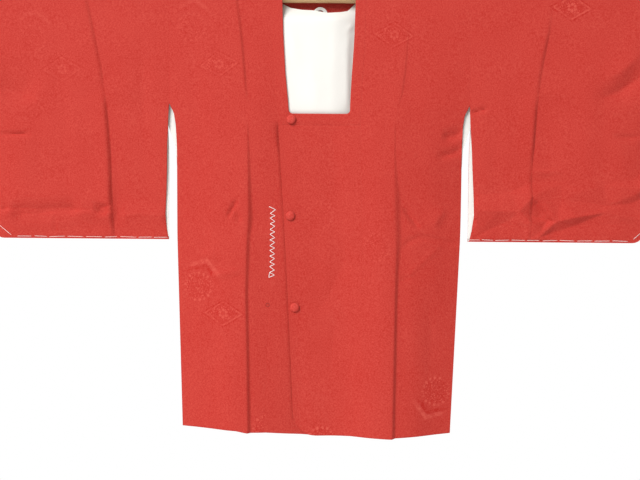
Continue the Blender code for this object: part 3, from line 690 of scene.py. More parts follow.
def crumple(x, z):
    """How far the facets of the crumpled sleeve foot stand out at each place."""
    names = list(CRUMPLE_POINTS)
    places = [Vector(CRUMPLE_POINTS[name][:2]) * MILLIMETRE for name in names]
    lines = [(names.index(a), names.index(b)) for line in CRUMPLE_LINES for a, b in zip(line, line[1:])]
    corners, _, facets, sources, _, _ = delaunay_2d_cdt(places, lines, [], 0, 1e-6)
    relief = np.zeros(np.shape(x))
    for facet in facets:
        (ax, az), (bx, bz), (cx, cz) = (corners[i] for i in facet)
        heights = [CRUMPLE_POINTS[names[sources[i][0]]][2] * MILLIMETRE for i in facet]
        area = (bx - ax) * (cz - az) - (cx - ax) * (bz - az)
        b_share = ((x - ax) * (cz - az) - (cx - ax) * (z - az)) / area
        c_share = ((bx - ax) * (z - az) - (x - ax) * (bz - az)) / area
        inside = (b_share >= 0) & (c_share >= 0) & (b_share + c_share <= 1)
        level = heights[0] + b_share * (heights[1] - heights[0]) + c_share * (heights[2] - heights[0])
        relief = np.where(inside, level, relief)
    return relief


def wrinkles(x, z, place):
    return sum(crease_height(x, z, *crease) for crease in WRINKLES[place])


def ripples(x, z, face):
    phase = BACK_PHASE if face == "back" else 0.0
    waves = 0.0
    for wave in RIPPLES:
        turn = 2 * math.pi * (x / wave.across + z / wave.down)
        waves = waves + wave.height * np.sin(turn + wave.phase + phase)
    return waves * ease(-z / RIPPLE_FULL)


def body_edge(side, face, z):
    """How far out the body's side edge lies on its front or back."""
    more = at(EDGES, "right_more", z) if side == "right" else 0.0
    return at(EDGES, f"body_{face}", z) + more


def inner_seam(side, face, z):
    """How far out a body length's inner seam lies. At the back it is as far out as the neck's seam ends."""
    return at(FRONT_SEAMS, side, z) if face == "front" else NECK_SEAM_BACK[side] + 0 * z


def sleeve_edge(side, face, z):
    """How far out the sleeve's inner edge lies on its front or back."""
    return at(EDGES, f"sleeve_{side}" if face == "front" else "sleeve_back", z)


def from_side(x, z):
    """How far in from the body's side edge each point lies."""
    return np.where(x > 0, body_edge("right", "front", z), body_edge("left", "front", z)) - np.abs(x)


def body_base(x, z):
    """The body's half depth without its creases."""
    side = at(DEPTHS, "body_side", z)
    middle = mix(SHOULDER, BODY_DEPTH_HEM, -z / BODY_LENGTH)
    return mix(side, middle, rise(from_side(x, z) / BODY_RISE))


def body_depth(x, z, face):
    """The body's half depth at each place, on its front or back, with its creases."""
    x, z = np.broadcast_arrays(np.asarray(x, float), np.asarray(z, float))
    away = rise(from_side(x, z) / BODY_RISE)
    grown = (np.maximum(0.0, -z) / BODY_LENGTH) ** FOLD_GROWTH
    depth = body_base(x, z)
    for side in SIGNS:
        line = f"{face}_{side}"
        fold = FOLDS[line]
        drop = at(DROPS, f"{line}_drop", z) * MILLIMETRE
        width = at(DROPS, line, z) * MILLIMETRE
        across = x - at(CREASES, line, z)
        depth = depth + away * fold_relief(across, fold.height * grown, fold.gentle, fold.tail, drop, width)
    near_edge = rise(from_side(x, z) / EDGE_RISE)
    detail = wrinkles(x, z, f"body_{face}") * near_edge + ripples(x, z, face) * away
    return np.maximum(depth + detail, SEAM_EDGE)


def lift(x, z):
    """How far the right front stands over the left front."""
    down = ease((z - LIFT_START) / (LIFT_FULL - LIFT_START))
    return LIFT * down * (1 - ease((x - LIFT_FADE_FROM) / LIFT_FADE_WIDTH))


def tuck(x, z):
    """How far the left front's hidden part lies behind its visible part."""
    return TUCK * ease((x + at(FLAP_EDGE, "edge", z)) / TUCK_WIDTH)


def beside_flap(x, z):
    """How far the left front sinks beside the flap's free edge, and stays sunk under it."""
    past_edge = (x + at(FLAP_EDGE, "edge", z)) / at(FLAP_SINKS, "width", z)
    return at(FLAP_SINKS, "depth", z) * ease(1 + past_edge)


def sleeve_depth(x, z, side, face):
    """The sleeve's half depth at each place, on its front or back."""
    x, z = np.broadcast_arrays(np.asarray(x, float), np.asarray(z, float))
    seam = at(DEPTHS, "sleeve_outer", z)
    in_from_edge = rise((SLEEVE_REACH - np.abs(x)) / SLEEVE_RISE)
    depth = mix(seam, at(DEPTHS, "sleeve", z), in_from_edge)
    share = at(SLEEVE_CREASES, f"{side}_share" if face == "front" else "back_share", z)
    relief = sleeve_relief(x - at(SLEEVE_CREASES, side, z))
    from_bottom = rise((z - SLEEVE_BOTTOM) / SLEEVE_FOOT_RISE)
    detail = share * relief + wrinkles(x, z, f"sleeve_{side}_{face}")
    detail = detail * from_bottom * in_from_edge + ripples(x, z, face) * from_bottom * in_from_edge
    if (side, face) == ("right", "front"):
        detail = detail + crumple(x, z) * rise((z - SLEEVE_BOTTOM) / CRUMPLE_FOOT_RISE)
    return np.maximum(depth + detail, np.minimum(seam, SEAM_EDGE))


def dip(distance, depth=SEAM_DIP, width=SEAM_DIP_WIDTH):
    """How far cloth sinks towards a seam."""
    return depth * (1 - np.clip(distance / width, 0.0, 1.0)) ** 2


def roll(distance):
    """How far cloth rolls in at a free edge."""
    return dip(distance, FREE_ROLL, FREE_ROLL_WIDTH)


def from_shoulder(z):
    """0 at the rod's level, where the cloth lies stretched, and 1 a little below it."""
    return ease(-z / SHOULDER_FADE)


# Grids

def divisions(counts):
    """The interval and share of each column, where each interval is divided into so many steps."""
    index, share = [], []
    for interval, count in enumerate(counts):
        index += [interval] * count
        share += [step / count for step in range(count)]
    return np.array(index + [len(counts) - 1]), np.array(share + [1.0])


def between(stations, index, share):
    """The x of each grid column, from key stations that were worked out at every grid point."""
    keys = np.stack(np.broadcast_arrays(*stations))
    rows = np.arange(keys.shape[1])[:, None]
    columns = np.arange(keys.shape[2])[None, :]
    return mix(keys[index[None, :], rows, columns], keys[index[None, :] + 1, rows, columns], share[None, :])


def steps(low, high, step):
    return max(1, round(abs(high - low) / step))


def settled(place, height, shape):
    """Grid points whose x depends on their height and whose height depends on their x."""
    z = np.full(shape, SLIT_END)
    for _ in range(4):
        x = place(z)
        z = height(x)
    return x, z


def levels(top, bottom, step, border_bottom=False):
    """Heights from top to bottom, closer at a border."""
    inner = list(np.linspace(top, bottom, steps(top, bottom, step) + 1))
    extra = [bottom + gap for gap in BORDER] if border_bottom else []
    kept = [z for z in inner
            if not extra or z in (top, bottom) or min(abs(z - e) for e in extra) > BORDER_CLEAR]
    return np.array(sorted(kept + extra, reverse=True))


BODY_ROWS = np.concatenate([
    levels(0.0, ARMHOLE_FRONT, ROW_STEP)[:-1],
    levels(ARMHOLE_FRONT, FRAME_SEAM, ROW_STEP)[:-1],
    levels(FRAME_SEAM, SLIT_END, ROW_STEP)[:-1],
])
LOWER_SHARES = -levels(0.0, -1.0, ROW_STEP / (BODY_LENGTH + SLIT_END))
LOWER_SHARES = np.concatenate([LOWER_SHARES[:-1], HEM_SHARES])
FRAME_ROW = int(np.argmin(np.abs(BODY_ROWS - FRAME_SEAM)))
SLIT_ROW = len(BODY_ROWS)
BODY_ROW_COUNT = len(BODY_ROWS) + len(LOWER_SHARES)


def body_heights(x):
    """The height of every body row at each grid point, from the rod's level down to the hem."""
    upper = np.broadcast_to(BODY_ROWS[:, None], (len(BODY_ROWS), x.shape[1]))
    lower = mix(SLIT_END, hem_height(x[len(BODY_ROWS):]), LOWER_SHARES[:, None])
    return np.concatenate([upper, lower])


def over_rod(x, radius):
    """Rows over the shoulder's half circle, from the front to the back, without its first and last."""
    turns = np.linspace(0.0, math.pi, SHOULDER_STEPS + 1)[1:-1, None]
    x = np.broadcast_to(x[None, :], (len(turns), len(x)))
    return np.stack([x, -radius * np.cos(turns) + 0 * x, radius * np.sin(turns) + 0 * x], axis=-1)


# Materials

def plug(tree, socket, value):
    """Gives a socket a value, or joins it to another socket or to a sum."""
    if isinstance(value, Sum):
        value = value.socket
    if isinstance(value, bpy.types.NodeSocket):
        tree.links.new(value, socket)
    else:
        socket.default_value = value


def node(tree, kind, inputs=(), **settings):
    """A shader node with its settings, and its inputs given as values, sockets or sums."""
    new = tree.nodes.new(kind)
    for name, value in settings.items():
        setattr(new, name, value)
    for name, value in dict(inputs).items():
        plug(tree, new.inputs[name], value)
    return new


class Sum:
    """A number in a shader tree. Each operation on it adds the node that works it out."""

    def __init__(self, tree, socket):
        self.tree = tree
        self.socket = socket

    def done(self, operation, *others):
        inputs = enumerate((self, *others))
        new = node(self.tree, "ShaderNodeMath", operation=operation, inputs=inputs)
        return Sum(self.tree, new.outputs[0])

    def __add__(self, other):
        return self.done("ADD", other)

    def __sub__(self, other):
        return self.done("SUBTRACT", other)

    def __mul__(self, other):
        return self.done("MULTIPLY", other)

    def __truediv__(self, other):
        return self.done("DIVIDE", other)

    def __abs__(self):
        return self.done("ABSOLUTE")

    def eased(self, low, high, to_low=0.0, to_high=1.0):
        """Smooth step from one value at low to another at high."""
        new = node(self.tree, "ShaderNodeMapRange", interpolation_type="SMOOTHSTEP", inputs={
            "Value": self, "From Min": low, "From Max": high, "To Min": to_low, "To Max": to_high})
        return Sum(self.tree, new.outputs["Result"])


def components(tree, vector):
    split = node(tree, "ShaderNodeSeparateXYZ", inputs={"Vector": vector})
    return [Sum(tree, split.outputs[axis]) for axis in "XYZ"]


def noise(tree, vector, **inputs):
    new = node(tree, "ShaderNodeTexNoise", inputs={"Vector": vector, **inputs})
    return Sum(tree, new.outputs["Fac"])


def blank(name, settings):
    """A new material, its tree, its shader with settings, and where each point lies on its object."""
    material = bpy.data.materials.new(name)
    material.use_nodes = True
    tree = material.node_tree
    shader = tree.nodes["Principled BSDF"]
    for setting, value in settings.items():
        shader.inputs[setting].default_value = value
    return material, tree, shader, node(tree, "ShaderNodeTexCoord").outputs["Object"]


def colour_by(tree, shader, share, low, high):
    """Colours a shader from low to high by a share."""
    blend = node(tree, "ShaderNodeMix", data_type="RGBA", inputs={0: share, 6: (*low, 1), 7: (*high, 1)})
    tree.links.new(blend.outputs[2], shader.inputs["Base Color"])


def bump_by(tree, shader, height, strength, distance):
    bump = node(tree, "ShaderNodeBump", inputs={
        "Strength": strength, "Distance": distance, "Height": height})
    tree.links.new(bump.outputs["Normal"], shader.inputs["Normal"])


def petals(radius, angle, count, ring, length, breadth):
    """A ring of petals: 1 on each petal and 0 between them."""
    turn = (angle * (count / (2 * math.pi))).done("FRACT")
    along = (turn - 0.5) * (2 * math.pi / count / breadth) * radius
    out = (radius - ring) / length
    return (along * along + out * out).done("SQRT").eased(0.5, 1.3, 1.0, 0.0)


def band(value, middle, half, soft):
    """1 where a value lies within half of the middle, and 0 farther than soft beyond that."""
    return abs(value - middle).eased(half, half + soft, 1.0, 0.0)


def motif_group(kind):
    """Tone of one motif, above 0 where it is lighter than the ground. Its input is X and Z in millimetres
    from the motif's middle, and how much it shows."""
    tree = bpy.data.node_groups.new(f"{kind}_motif", "ShaderNodeTree")
    tree.interface.new_socket("Place", in_out="INPUT", socket_type="NodeSocketVector")
    tree.interface.new_socket("Tone", in_out="OUTPUT", socket_type="NodeSocketFloat")
    place = tree.nodes.new("NodeGroupInput").outputs["Place"]
    x, z, shown = components(tree, place)
    wide, high = abs(x), abs(z)
    cells = node(tree, "ShaderNodeTexVoronoi", inputs={"Vector": place, "Scale": 0.26, "Randomness": 1.0})
    specks = Sum(tree, cells.outputs["Distance"]).eased(0.20, 0.48, 1.0, 0.0)
    worn = noise(tree, place, Scale=0.11, Detail=2.0).eased(0.34, 0.60, 0.15, 1.0)
    radius = (x * x + z * z).done("SQRT")
    angle = z.done("ARCTAN2", x) + math.pi
    if kind == "rhombus":
        edge = wide / RHOMBUS_WIDE + high / RHOMBUS_HIGH
        inside = edge.eased(0.84, 0.96, 1.0, 0.0)
        outline = band(edge, 1.0, 0.02, 0.09) * worn
        inner = band(edge, 0.86, 0.03, 0.08) * worn
        light = (specks * inside * worn).done("MAXIMUM", petals(radius, angle, 6, 7.0, 3.0, 3.2))
        tone = light.done("MAXIMUM", inner * 0.8) - outline * 0.5 - inside * 0.25
    else:
        ground = radius.eased(25.0, 31.0, 1.0, 0.0)
        light = (specks * ground * 0.85).done("MAXIMUM", band(radius, 23.0, 3.0, 4.0) * specks)
        light = light.done("MAXIMUM", petals(radius, angle, 17, 26.5, 3.0, 3.0) * 0.75)
        tone = light * worn - ground * 0.15
    if kind == "round":
        roof = wide * 0.6 + z
        roof = band(roof, 53.0, 2.5, 5.0) * 0.7 - band(roof, 44.0, 2.5, 5.0) * 0.35
        tone = tone + roof * wide.eased(18.0, 40.0, 1.0, 0.0) * worn
    out = tree.nodes.new("NodeGroupOutput")
    plug(tree, out.inputs["Tone"], tone * shown)
    return tree


GROUPS = {kind: motif_group(kind) for kind in ("rhombus", "ring", "round")}


def motif_tone(tree, coordinates, piece):
    """The tone of all of a piece's motifs: each place is measured from the motif that it is near."""
    x, y, z = components(tree, coordinates)
    flat = node(tree, "ShaderNodeCombineXYZ", inputs={
        "X": x * MILLIMETRES, "Y": z * MILLIMETRES, "Z": y.done("SIGN") * SIDE_STEP}).outputs["Vector"]
    tones = []
    for kind, group in GROUPS.items():
        rows = [row for row in MOTIFS[piece] if row[1] == kind]
        nearest = (SIDE_STEP, SIDE_STEP, 0.0)
        for face, _, across, up, turn, shown in rows:
            side = OUTWARD[face] * SIDE_STEP
            centre = (across, up, side)
            away = node(tree, "ShaderNodeVectorMath", operation="DISTANCE", inputs={0: flat, 1: centre})
            near = Sum(tree, away.outputs["Value"]).done("LESS_THAN", MOTIF_REACH)
            turned = node(tree, "ShaderNodeVectorRotate", rotation_type="Z_AXIS",
                          inputs={"Vector": flat, "Center": centre, "Angle": turn}).outputs["Vector"]
            from_it = node(tree, "ShaderNodeVectorMath", operation="SUBTRACT",
                           inputs={0: turned, 1: (across, up, side - shown)}).outputs["Vector"]
            nearest = node(tree, "ShaderNodeMix", data_type="VECTOR",
                           inputs={0: near, 4: nearest, 5: from_it}).outputs[1]
        if rows:
            used = node(tree, "ShaderNodeGroup", node_tree=group)
            tree.links.new(nearest, used.inputs["Place"])
            tones.append(Sum(tree, used.outputs["Tone"]))
    total = tones[0]
    for tone in tones[1:]:
        total = total + tone
    return total


def crepe(name, colour, piece=None):
    """Silk crepe: pebbled, matt with a faint bloom of sheen, uneven in tone with painted glints of sheen on
    its pebbles, with its woven motifs.
    """
    material, tree, shader, coordinates = blank(name, {
        "Roughness": 0.78, "Specular IOR Level": 0.15, "Sheen Weight": 0.03, "Sheen Roughness": 0.45,
        "Sheen Tint": (1.0, 0.62, 0.56, 1.0)})
    # Random tone of the pebbled grain; towards its light end the colour turns pinker, a painted glint of
    # sheen on the pebbles
    grain = (noise(tree, coordinates, Scale=420.0, Detail=3.0) - 0.5) * 0.55
    cloud = (noise(tree, coordinates, Scale=11.0, Detail=2.0) - 0.5) * 0.08
    tone = grain + cloud
    if piece:
        tone = tone + motif_tone(tree, coordinates, piece) * MOTIF_STRENGTH
    dark, light = ([c * gain for c, gain in zip(colour, gains)] for gains in (DARK_TONE, LIGHT_TONE_AND_GLINT))
    colour_by(tree, shader, tone * 2.0 + 0.5, dark, light)
    bump_by(tree, shader, noise(tree, coordinates, Scale=1100.0, Detail=2.0), 0.35, 0.0004)
    return material


def lining_silk(name, colour, roughness):
    """Smooth plain silk with a soft sheen."""
    material, tree, shader, coordinates = blank(name, {
        "Roughness": roughness, "Specular IOR Level": 0.4, "Sheen Weight": 0.1, "Sheen Roughness": 0.3})
    cloud = noise(tree, coordinates, Scale=16.0, Detail=2.0)
    colour_by(tree, shader, cloud, [c * 0.975 for c in colour], [min(1.0, c * 1.02) for c in colour])
    bump_by(tree, shader, noise(tree, coordinates, Scale=900.0, Detail=1.0), 0.15, 0.0002)
    return material


def pale_wood(name):
    """Straight-grained pale wood, its grain along the rod, under a satin finish."""
    material, tree, shader, coordinates = blank(name, {"Roughness": 0.42})
    stretched, pores = (
        node(tree, "ShaderNodeMapping", inputs={"Vector": coordinates, "Scale": scale}).outputs["Vector"]
        for scale in ((6.0, 160.0, 160.0), (60.0, 900.0, 900.0)))
    grain = noise(tree, stretched, Scale=1.0, Detail=4.0, Distortion=0.4)
    ramp = node(tree, "ShaderNodeValToRGB", inputs={"Fac": grain})
    stops = zip(ramp.color_ramp.elements, (0.35, 0.65), (WOOD_DARK, WOOD_LIGHT))
    for stop, position, colour in stops:
        stop.position = position
        stop.color = (*colour, 1)
    tree.links.new(ramp.outputs["Color"], shader.inputs["Base Color"])
    bump_by(tree, shader, noise(tree, pores, Scale=1.0), 0.2, 0.0003)
    return material


def cotton(name):
    """Soft twisted cotton thread."""
    material, tree, shader, coordinates = blank(name, {"Roughness": 0.85})
    twist = node(tree, "ShaderNodeTexWave", inputs={
        "Vector": coordinates, "Scale": 420.0, "Distortion": 2.0})
    colour_by(tree, shader, twist.outputs["Fac"], [c * 0.93 for c in THREAD_WHITE], THREAD_WHITE)
    return material


def matt(name, colour):
    return blank(name, {"Base Color": (*colour, 1), "Roughness": 0.9})[0]


FINISHES = {piece: crepe(f"crepe_{piece}", CREPE_RED, piece)
            for piece in ("body_left", "body_right", "band", "sleeve_left", "sleeve_right")}
COLLAR_CREPE = crepe("crepe_collar", CREPE_RED)
# The button crepe's lighter red is painted light, not a different dye
BUTTON_CREPE_PAINTED_LIGHTER = crepe("crepe_button_painted_lighter", BUTTON_RED_PAINTED_LIGHTER)
LINING_SILK = lining_silk("lining_silk", LINING_WHITE, 0.5)
RIBBON = lining_silk("ribbon_silk", LINING_WHITE, 0.4)
THREAD = cotton("cotton_thread")
RED_THREAD = matt("red_thread", THREAD_RED)
WOOD = pale_wood("pale_wood")


# Building pieces

def add_object(name, data):
    new = bpy.data.objects.new(name, data)
    bpy.context.scene.collection.objects.link(new)
    return new


def place_piece(name, mesh, nodes=()):
    piece = add_object(name, mesh)
    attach(piece, "root")
    if nodes:
        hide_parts(*nodes)
    return piece


def smooth_mesh(name, verts, faces, material):
    mesh = bpy.data.meshes.new(name)
    mesh.from_pydata(verts, [], faces)
    mesh.shade_smooth()
    mesh.materials.append(material)
    return mesh


def ring_faces(first, rings, sides):
    """The faces between rings of points, where the first ring starts at the point numbered first."""
    faces = []
    for start in range(first, first + (rings - 1) * sides, sides):
        for i in range(sides):
            j = (i + 1) % sides
            faces.append((start + i, start + j, start + sides + j, start + sides + i))
    return faces


def shell(name, node_name, slot, points, thickness, finish, present=None, bridges=(), facing=()):
    """A thin closed shell on a grid of outer points, all of them used unless present says which.

    The red panels have lining inside, and all else has its own finish on both sides. Bridges are pairs of
    paths of grid places that faces join. Rows or columns listed in facing have crepe on both sides, as the
    turned-in edge of a lined coat has.
    """
    if present is None:
        present = np.ones(points.shape[:2], bool)
    number = np.full(present.shape, -1)
    number[present] = np.arange(present.sum())
    a, b = number[:-1, :-1], number[:-1, 1:]
    c, d = number[1:, 1:], number[1:, :-1]
    whole = (a >= 0) & (b >= 0) & (c >= 0) & (d >= 0)
    faces = np.stack([a, b, c, d], axis=-1)[whole].tolist()
    turned = np.zeros(whole.shape, bool)
    for part in facing:
        turned[part] = True
    kinds = np.where(turned[whole], 2, 0).tolist()
    for near, far in bridges:
        for corners in zip(near, near[1:], far[1:], far):
            faces.append([number[corner] for corner in corners])
            kinds.append(0)
    mesh = bpy.data.meshes.new(name)
    mesh.from_pydata(points[present].tolist(), [], faces)
    mesh.polygons.foreach_set("material_index", kinds)
    bm = bmesh.new()
    bm.from_mesh(mesh)
    bmesh.ops.recalc_face_normals(bm, faces=bm.faces)
    bm.faces.ensure_lookup_table()
    first = bm.faces[0]
    if first.normal.y * first.calc_center_median().y < 0:
        bmesh.ops.reverse_faces(bm, faces=bm.faces)
    bm.to_mesh(mesh)
    bm.free()
    mesh.shade_smooth()
    piece = place_piece(name, mesh, (node_name,))
    inner = LINING_SILK if slot == "red_crepe" else finish
    for material in (finish, inner, finish, finish):
        mesh.materials.append(material)
    solid = piece.modifiers.new("Thickness", "SOLIDIFY")
    solid.thickness = thickness
    solid.offset = -1
    solid.material_offset = 1
    graph = bpy.context.evaluated_depsgraph_get()
    piece.data = bpy.data.meshes.new_from_object(piece.evaluated_get(graph))
    piece.modifiers.clear()
    piece.data.set_sharp_from_angle(angle=RIM_ANGLE)
    return piece


# Body lengths

def body_counts(side):
    """How many steps each interval between a body's key stations is divided into."""
    outside, inside, crossing = BODY_COUNTS[side]
    crest = abs(at(CREASES, f"front_{side}", COUNT_LEVEL))
    outer = steps(BODY_COUNT_EDGE, crest + outside, COLUMN_STEP)
    inner = steps(crest + inside, BODY_COUNT_SEAM, COLUMN_STEP)
    return [1, 1, 1, outer, *crossing, inner, 1, 1, 1]


def body_stations(side, face, z):
    """The x of each key station of a body length, from its side edge to its inner seam."""
    sign = SIGNS[side]
    edge = sign * (body_edge(side, face, z) - SEAM_GAP / 2)
    seam = sign * (inner_seam(side, face, z) + SEAM_GAP / 2)
    crest = at(CREASES, f"{face}_{side}", z)
    steep = at(DROPS, f"{face}_{side}", z) * MILLIMETRE
    crossing = [crest - CREST_BEFORE, crest, crest + steep, crest + steep + CREST_AFTER]
    outer = [edge, *(edge - sign * gap for gap in BORDER)]
    return [*outer, *crossing[::-sign], *(seam + sign * gap for gap in BORDER[::-1]), seam]


def neck_seam_height(x):
    """The back neck's seam, where the collar band meets the back."""
    half = np.where(x > 0, NECK_SEAM_BACK["right"], NECK_SEAM_BACK["left"])
    return at(NECK_CURVE, "z", x / half, "share")


NECK_SHARES = np.concatenate([np.linspace(1.0, 0.0, 25)[1:-1], [0.012, 0.0]])


def with_bare_neck(points):
    """Rows of points with bare columns beside them, where the back has its neck part, and what is there."""
    bare = np.zeros((len(points), len(NECK_SHARES)), bool)
    present = np.concatenate([np.ones(points.shape[:2], bool), bare], axis=1)
    return np.concatenate([points, np.zeros((*bare.shape, 3))], axis=1), present


def body_face(side, face):
    """One face of a body length, row by row from the rod's level to the hem, and which points are there."""
    sign = SIGNS[side]
    index, share = divisions(body_counts(side))
    shape = (BODY_ROW_COUNT, len(index))
    x, z = settled(lambda z: between(body_stations(side, face, z), index, share), body_heights, shape)
    depth = body_depth(x, z, face)
    open_side = (z < ARMHOLE_FRONT) & (z > SLIT_END)
    sewn_side = z >= ARMHOLE_FRONT
    from_edge = np.abs(x - sign * body_edge(side, face, z))
    sink = np.where(open_side, roll(from_edge), 0.0)
    sink = sink + np.where(sewn_side, dip(from_edge), 0.0) * from_shoulder(z)
    if face == "front":
        depth = depth + (lift(x, z) if side == "right" else -beside_flap(x, z))
        sink = sink + dip(np.abs(np.abs(x) - inner_seam(side, face, z))) * from_shoulder(z)
    depth = depth - (sink + roll(z - hem_height(x)))
    points = np.stack([x, OUTWARD[face] * depth, z], axis=-1)
    if face == "front":
        return with_bare_neck(points)
    x = sign * np.maximum(SEAM_GAP / 2, NECK_SEAM_BACK[side] * NECK_SHARES)
    x = np.broadcast_to(x, (BODY_ROW_COUNT, len(NECK_SHARES)))
    top = neck_seam_height(x)
    hem = hem_height(x)
    z = mix(top, hem, body_heights(x) / hem)
    depth = body_depth(x, z, "back") - dip(np.abs(x)) - dip(top - z) - roll(z - hem)
    points = np.concatenate([points, np.stack([x, depth, z], axis=-1)], axis=1)
    return points, np.ones(points.shape[:2], bool)


def make_body(side):
    front, front_present = body_face(side, "front")
    back, back_present = body_face(side, "back")
    sewn = len(divisions(body_counts(side))[0])
    arch, arch_present = with_bare_neck(over_rod(front[0, :sewn, 0], SHOULDER))
    points = np.concatenate([front[::-1], arch, back])
    present = np.concatenate([front_present[::-1], arch_present, back_present])
    last = len(front) - 1
    back_start = len(front) + len(arch)
    below_slit = range(SLIT_ROW, last + 1)
    near = [(last - row, 0) for row in below_slit]
    far = [(back_start + row, 0) for row in below_slit]
    hem = (slice(0, HEM_FACING), slice(None)), (slice(-HEM_FACING, None), slice(None))
    piece = shell(f"{side}_length", f"body_{side}", "red_crepe", points, SHELL,
                  FINISHES[f"body_{side}"], present, [(near, far)], hem)


# Sleeves

SLEEVE_ROWS = np.concatenate([
    levels(0.0, WRIST_END, ROW_STEP)[:-1],
    levels(WRIST_END, SLEEVE_FINE_FROM, ROW_STEP)[:-1],
    levels(SLEEVE_FINE_FROM, SLEEVE_BOTTOM, SLEEVE_FINE_STEP, border_bottom=True),
])
WRIST_ROW = int(np.argmin(np.abs(SLEEVE_ROWS - WRIST_END)))


def sleeve_counts(side):
    """How many steps each interval between a sleeve's key stations is divided into."""
    line = abs(at(SLEEVE_CREASES, side, COUNT_LEVEL))
    inner = steps(SLEEVE_COUNT_EDGE, line - SLEEVE_FOLD_SIDE, SLEEVE_COLUMN_STEP)
    outer = steps(line + SLEEVE_FOLD_SIDE, SLEEVE_REACH - SLEEVE_CORNER, SLEEVE_COLUMN_STEP)
    return [1, 1, 1, inner, *SLEEVE_CROSSING, outer]


def sleeve_stations(side, face, z):
    """How far out each key station of a sleeve lies, from its inner edge to its outer corner."""
    edge = sleeve_edge(side, face, z) + SEAM_GAP / 2
    line = np.abs(at(SLEEVE_CREASES, side, z))
    crossing = [line - SLEEVE_FOLD_SIDE, line, line + SLEEVE_FOLD_SIDE]
    return [edge, *(edge + gap for gap in BORDER), *crossing, SLEEVE_REACH - SLEEVE_CORNER + 0 * z]


def sleeve_face(side, face):
    """One face of a sleeve, row by row from the rod's level to its bottom."""
    index, share = divisions(sleeve_counts(side))
    turns = np.linspace(0.0, math.pi / 2, CORNER_STEPS + 1)[1:]
    z = np.broadcast_to(SLEEVE_ROWS[:, None], (len(SLEEVE_ROWS), len(index)))
    out = between(sleeve_stations(side, face, z), index, share)
    corner = SLEEVE_REACH - SLEEVE_CORNER + SLEEVE_CORNER * np.sin(turns)
    out = np.concatenate([out, np.broadcast_to(corner, (len(SLEEVE_ROWS), len(turns)))], axis=1)
    rounding = np.concatenate([np.zeros(len(index)), 1 - np.cos(turns)])
    z = SLEEVE_ROWS[:, None] * (1 + SLEEVE_CORNER * rounding[None, :] / SLEEVE_BOTTOM)
    x = SIGNS[side] * out
    level = np.broadcast_to(SLEEVE_ROWS[:, None], x.shape)
    from_edge = out - sleeve_edge(side, face, level)
    sink = np.where(level >= ARMHOLE_FRONT, dip(from_edge) * from_shoulder(level), roll(from_edge))
    wrist = roll(SLEEVE_REACH - out) * (level > WRIST_END) * from_shoulder(level)
    depth = sleeve_depth(x, level, side, face) - sink - wrist
    return np.stack([x, OUTWARD[face] * depth, z], axis=-1)


def make_sleeve(side):
    front = sleeve_face(side, "front")
    arch = over_rod(front[0, :, 0], SHOULDER)
    points = np.concatenate([front[::-1], arch, sleeve_face(side, "back")])
    last = len(front) - 1
    back_start = len(front) + len(arch)
    outer = front.shape[1] - 1
    path = [(row, outer) for row in range(WRIST_ROW, last + 1)]
    path += [(last, column) for column in range(outer - 1, -1, -1)]
    near = [(last - row, column) for row, column in path]
    far = [(back_start + row, column) for row, column in path]
    cuff = [(slice(None), slice(-CUFF_FACING, None))]
    piece = shell(f"{side}_sleeve", f"sleeve_{side}", "red_crepe", points, SHELL,
                  FINISHES[f"sleeve_{side}"], bridges=[(near, far)], facing=cuff)


# Front bands

def band_face(side):
    """One front band, from under the collar frame to the hem, with its rounded lower corner."""
    sign = SIGNS[side]
    turns = np.linspace(0.0, math.pi / 2, CORNER_STEPS + 1)
    rounding = np.concatenate([1 - np.sin(turns), np.zeros(len(BAND_RUN))])

    def place(z):
        free = -sign * at(FLAP_EDGE, "edge", z)
        seam = sign * (at(FRONT_SEAMS, side, z) - SEAM_GAP / 2)
        corner = free + sign * FLAP_CORNER_WIDTH
        round_part = free[:, :len(turns)] + sign * FLAP_CORNER_WIDTH * (1 - np.cos(turns))
        rest = mix(corner[:, len(turns):], seam[:, len(turns):], BAND_RUN)
        return np.concatenate([round_part, rest], axis=1)

    def height(x):
        hem = hem_height(x)
        rows = body_heights(np.concatenate([x[:1]] * FRAME_ROW + [x]))[FRAME_ROW:]
        share = (rows - FRAME_SEAM) / (hem - FRAME_SEAM)
        return mix(FRAME_SEAM - SEAM_GAP, hem + FLAP_CORNER_HEIGHT * rounding, share)

    shape = (BODY_ROW_COUNT - FRAME_ROW, len(rounding))
    x, z = settled(place, height, shape)
    depth = body_depth(x, z, "front")
    depth = depth + (lift(x, z) if side == "right" else -tuck(x, z) - beside_flap(x, z))
    from_seam = np.abs(sign * at(FRONT_SEAMS, side, z) - x)
    from_free = np.abs(x + sign * at(FLAP_EDGE, "edge", z))
    depth = depth - dip(from_seam) - dip(from_free) - dip(FRAME_SEAM - z, BAR_DIP, BAR_DIP_WIDTH)
    depth = depth - roll(z - hem_height(x) - FLAP_CORNER_HEIGHT * rounding)
    return np.stack([x, -depth, z], axis=-1)


def make_bands():
    for side, node_name in (("right", "front_band_over"), ("left", "front_band_under")):
        piece = shell(f"{side}_tate_eri", node_name, "red_crepe", band_face(side), SHELL, FINISHES["band"],
                      facing=[(slice(-HEM_FACING, None), slice(None))])


# Collar frame

def collar_edges(side, z):
    """The frame's outer and inner edge at a height."""
    outer = at(FRONT_SEAMS, side, z) - SEAM_GAP / 2
    return outer, outer - COLLAR_WIDTH


ACROSS = np.array([0.0, 0.03, 0.09, 0.25, 0.42, 0.58, 0.75, 0.91, 0.97, 1.0])


def collar_roll(share):
    """How far a folded band rolls in at its free inner edge, and a little at its sewn one."""
    return roll((1 - share) * COLLAR_WIDTH) + dip(share * COLLAR_WIDTH)


def collar_shell(name, node_name, points):
    return shell(name, node_name, "collar_crepe", points, COLLAR_SHELL, COLLAR_CREPE)


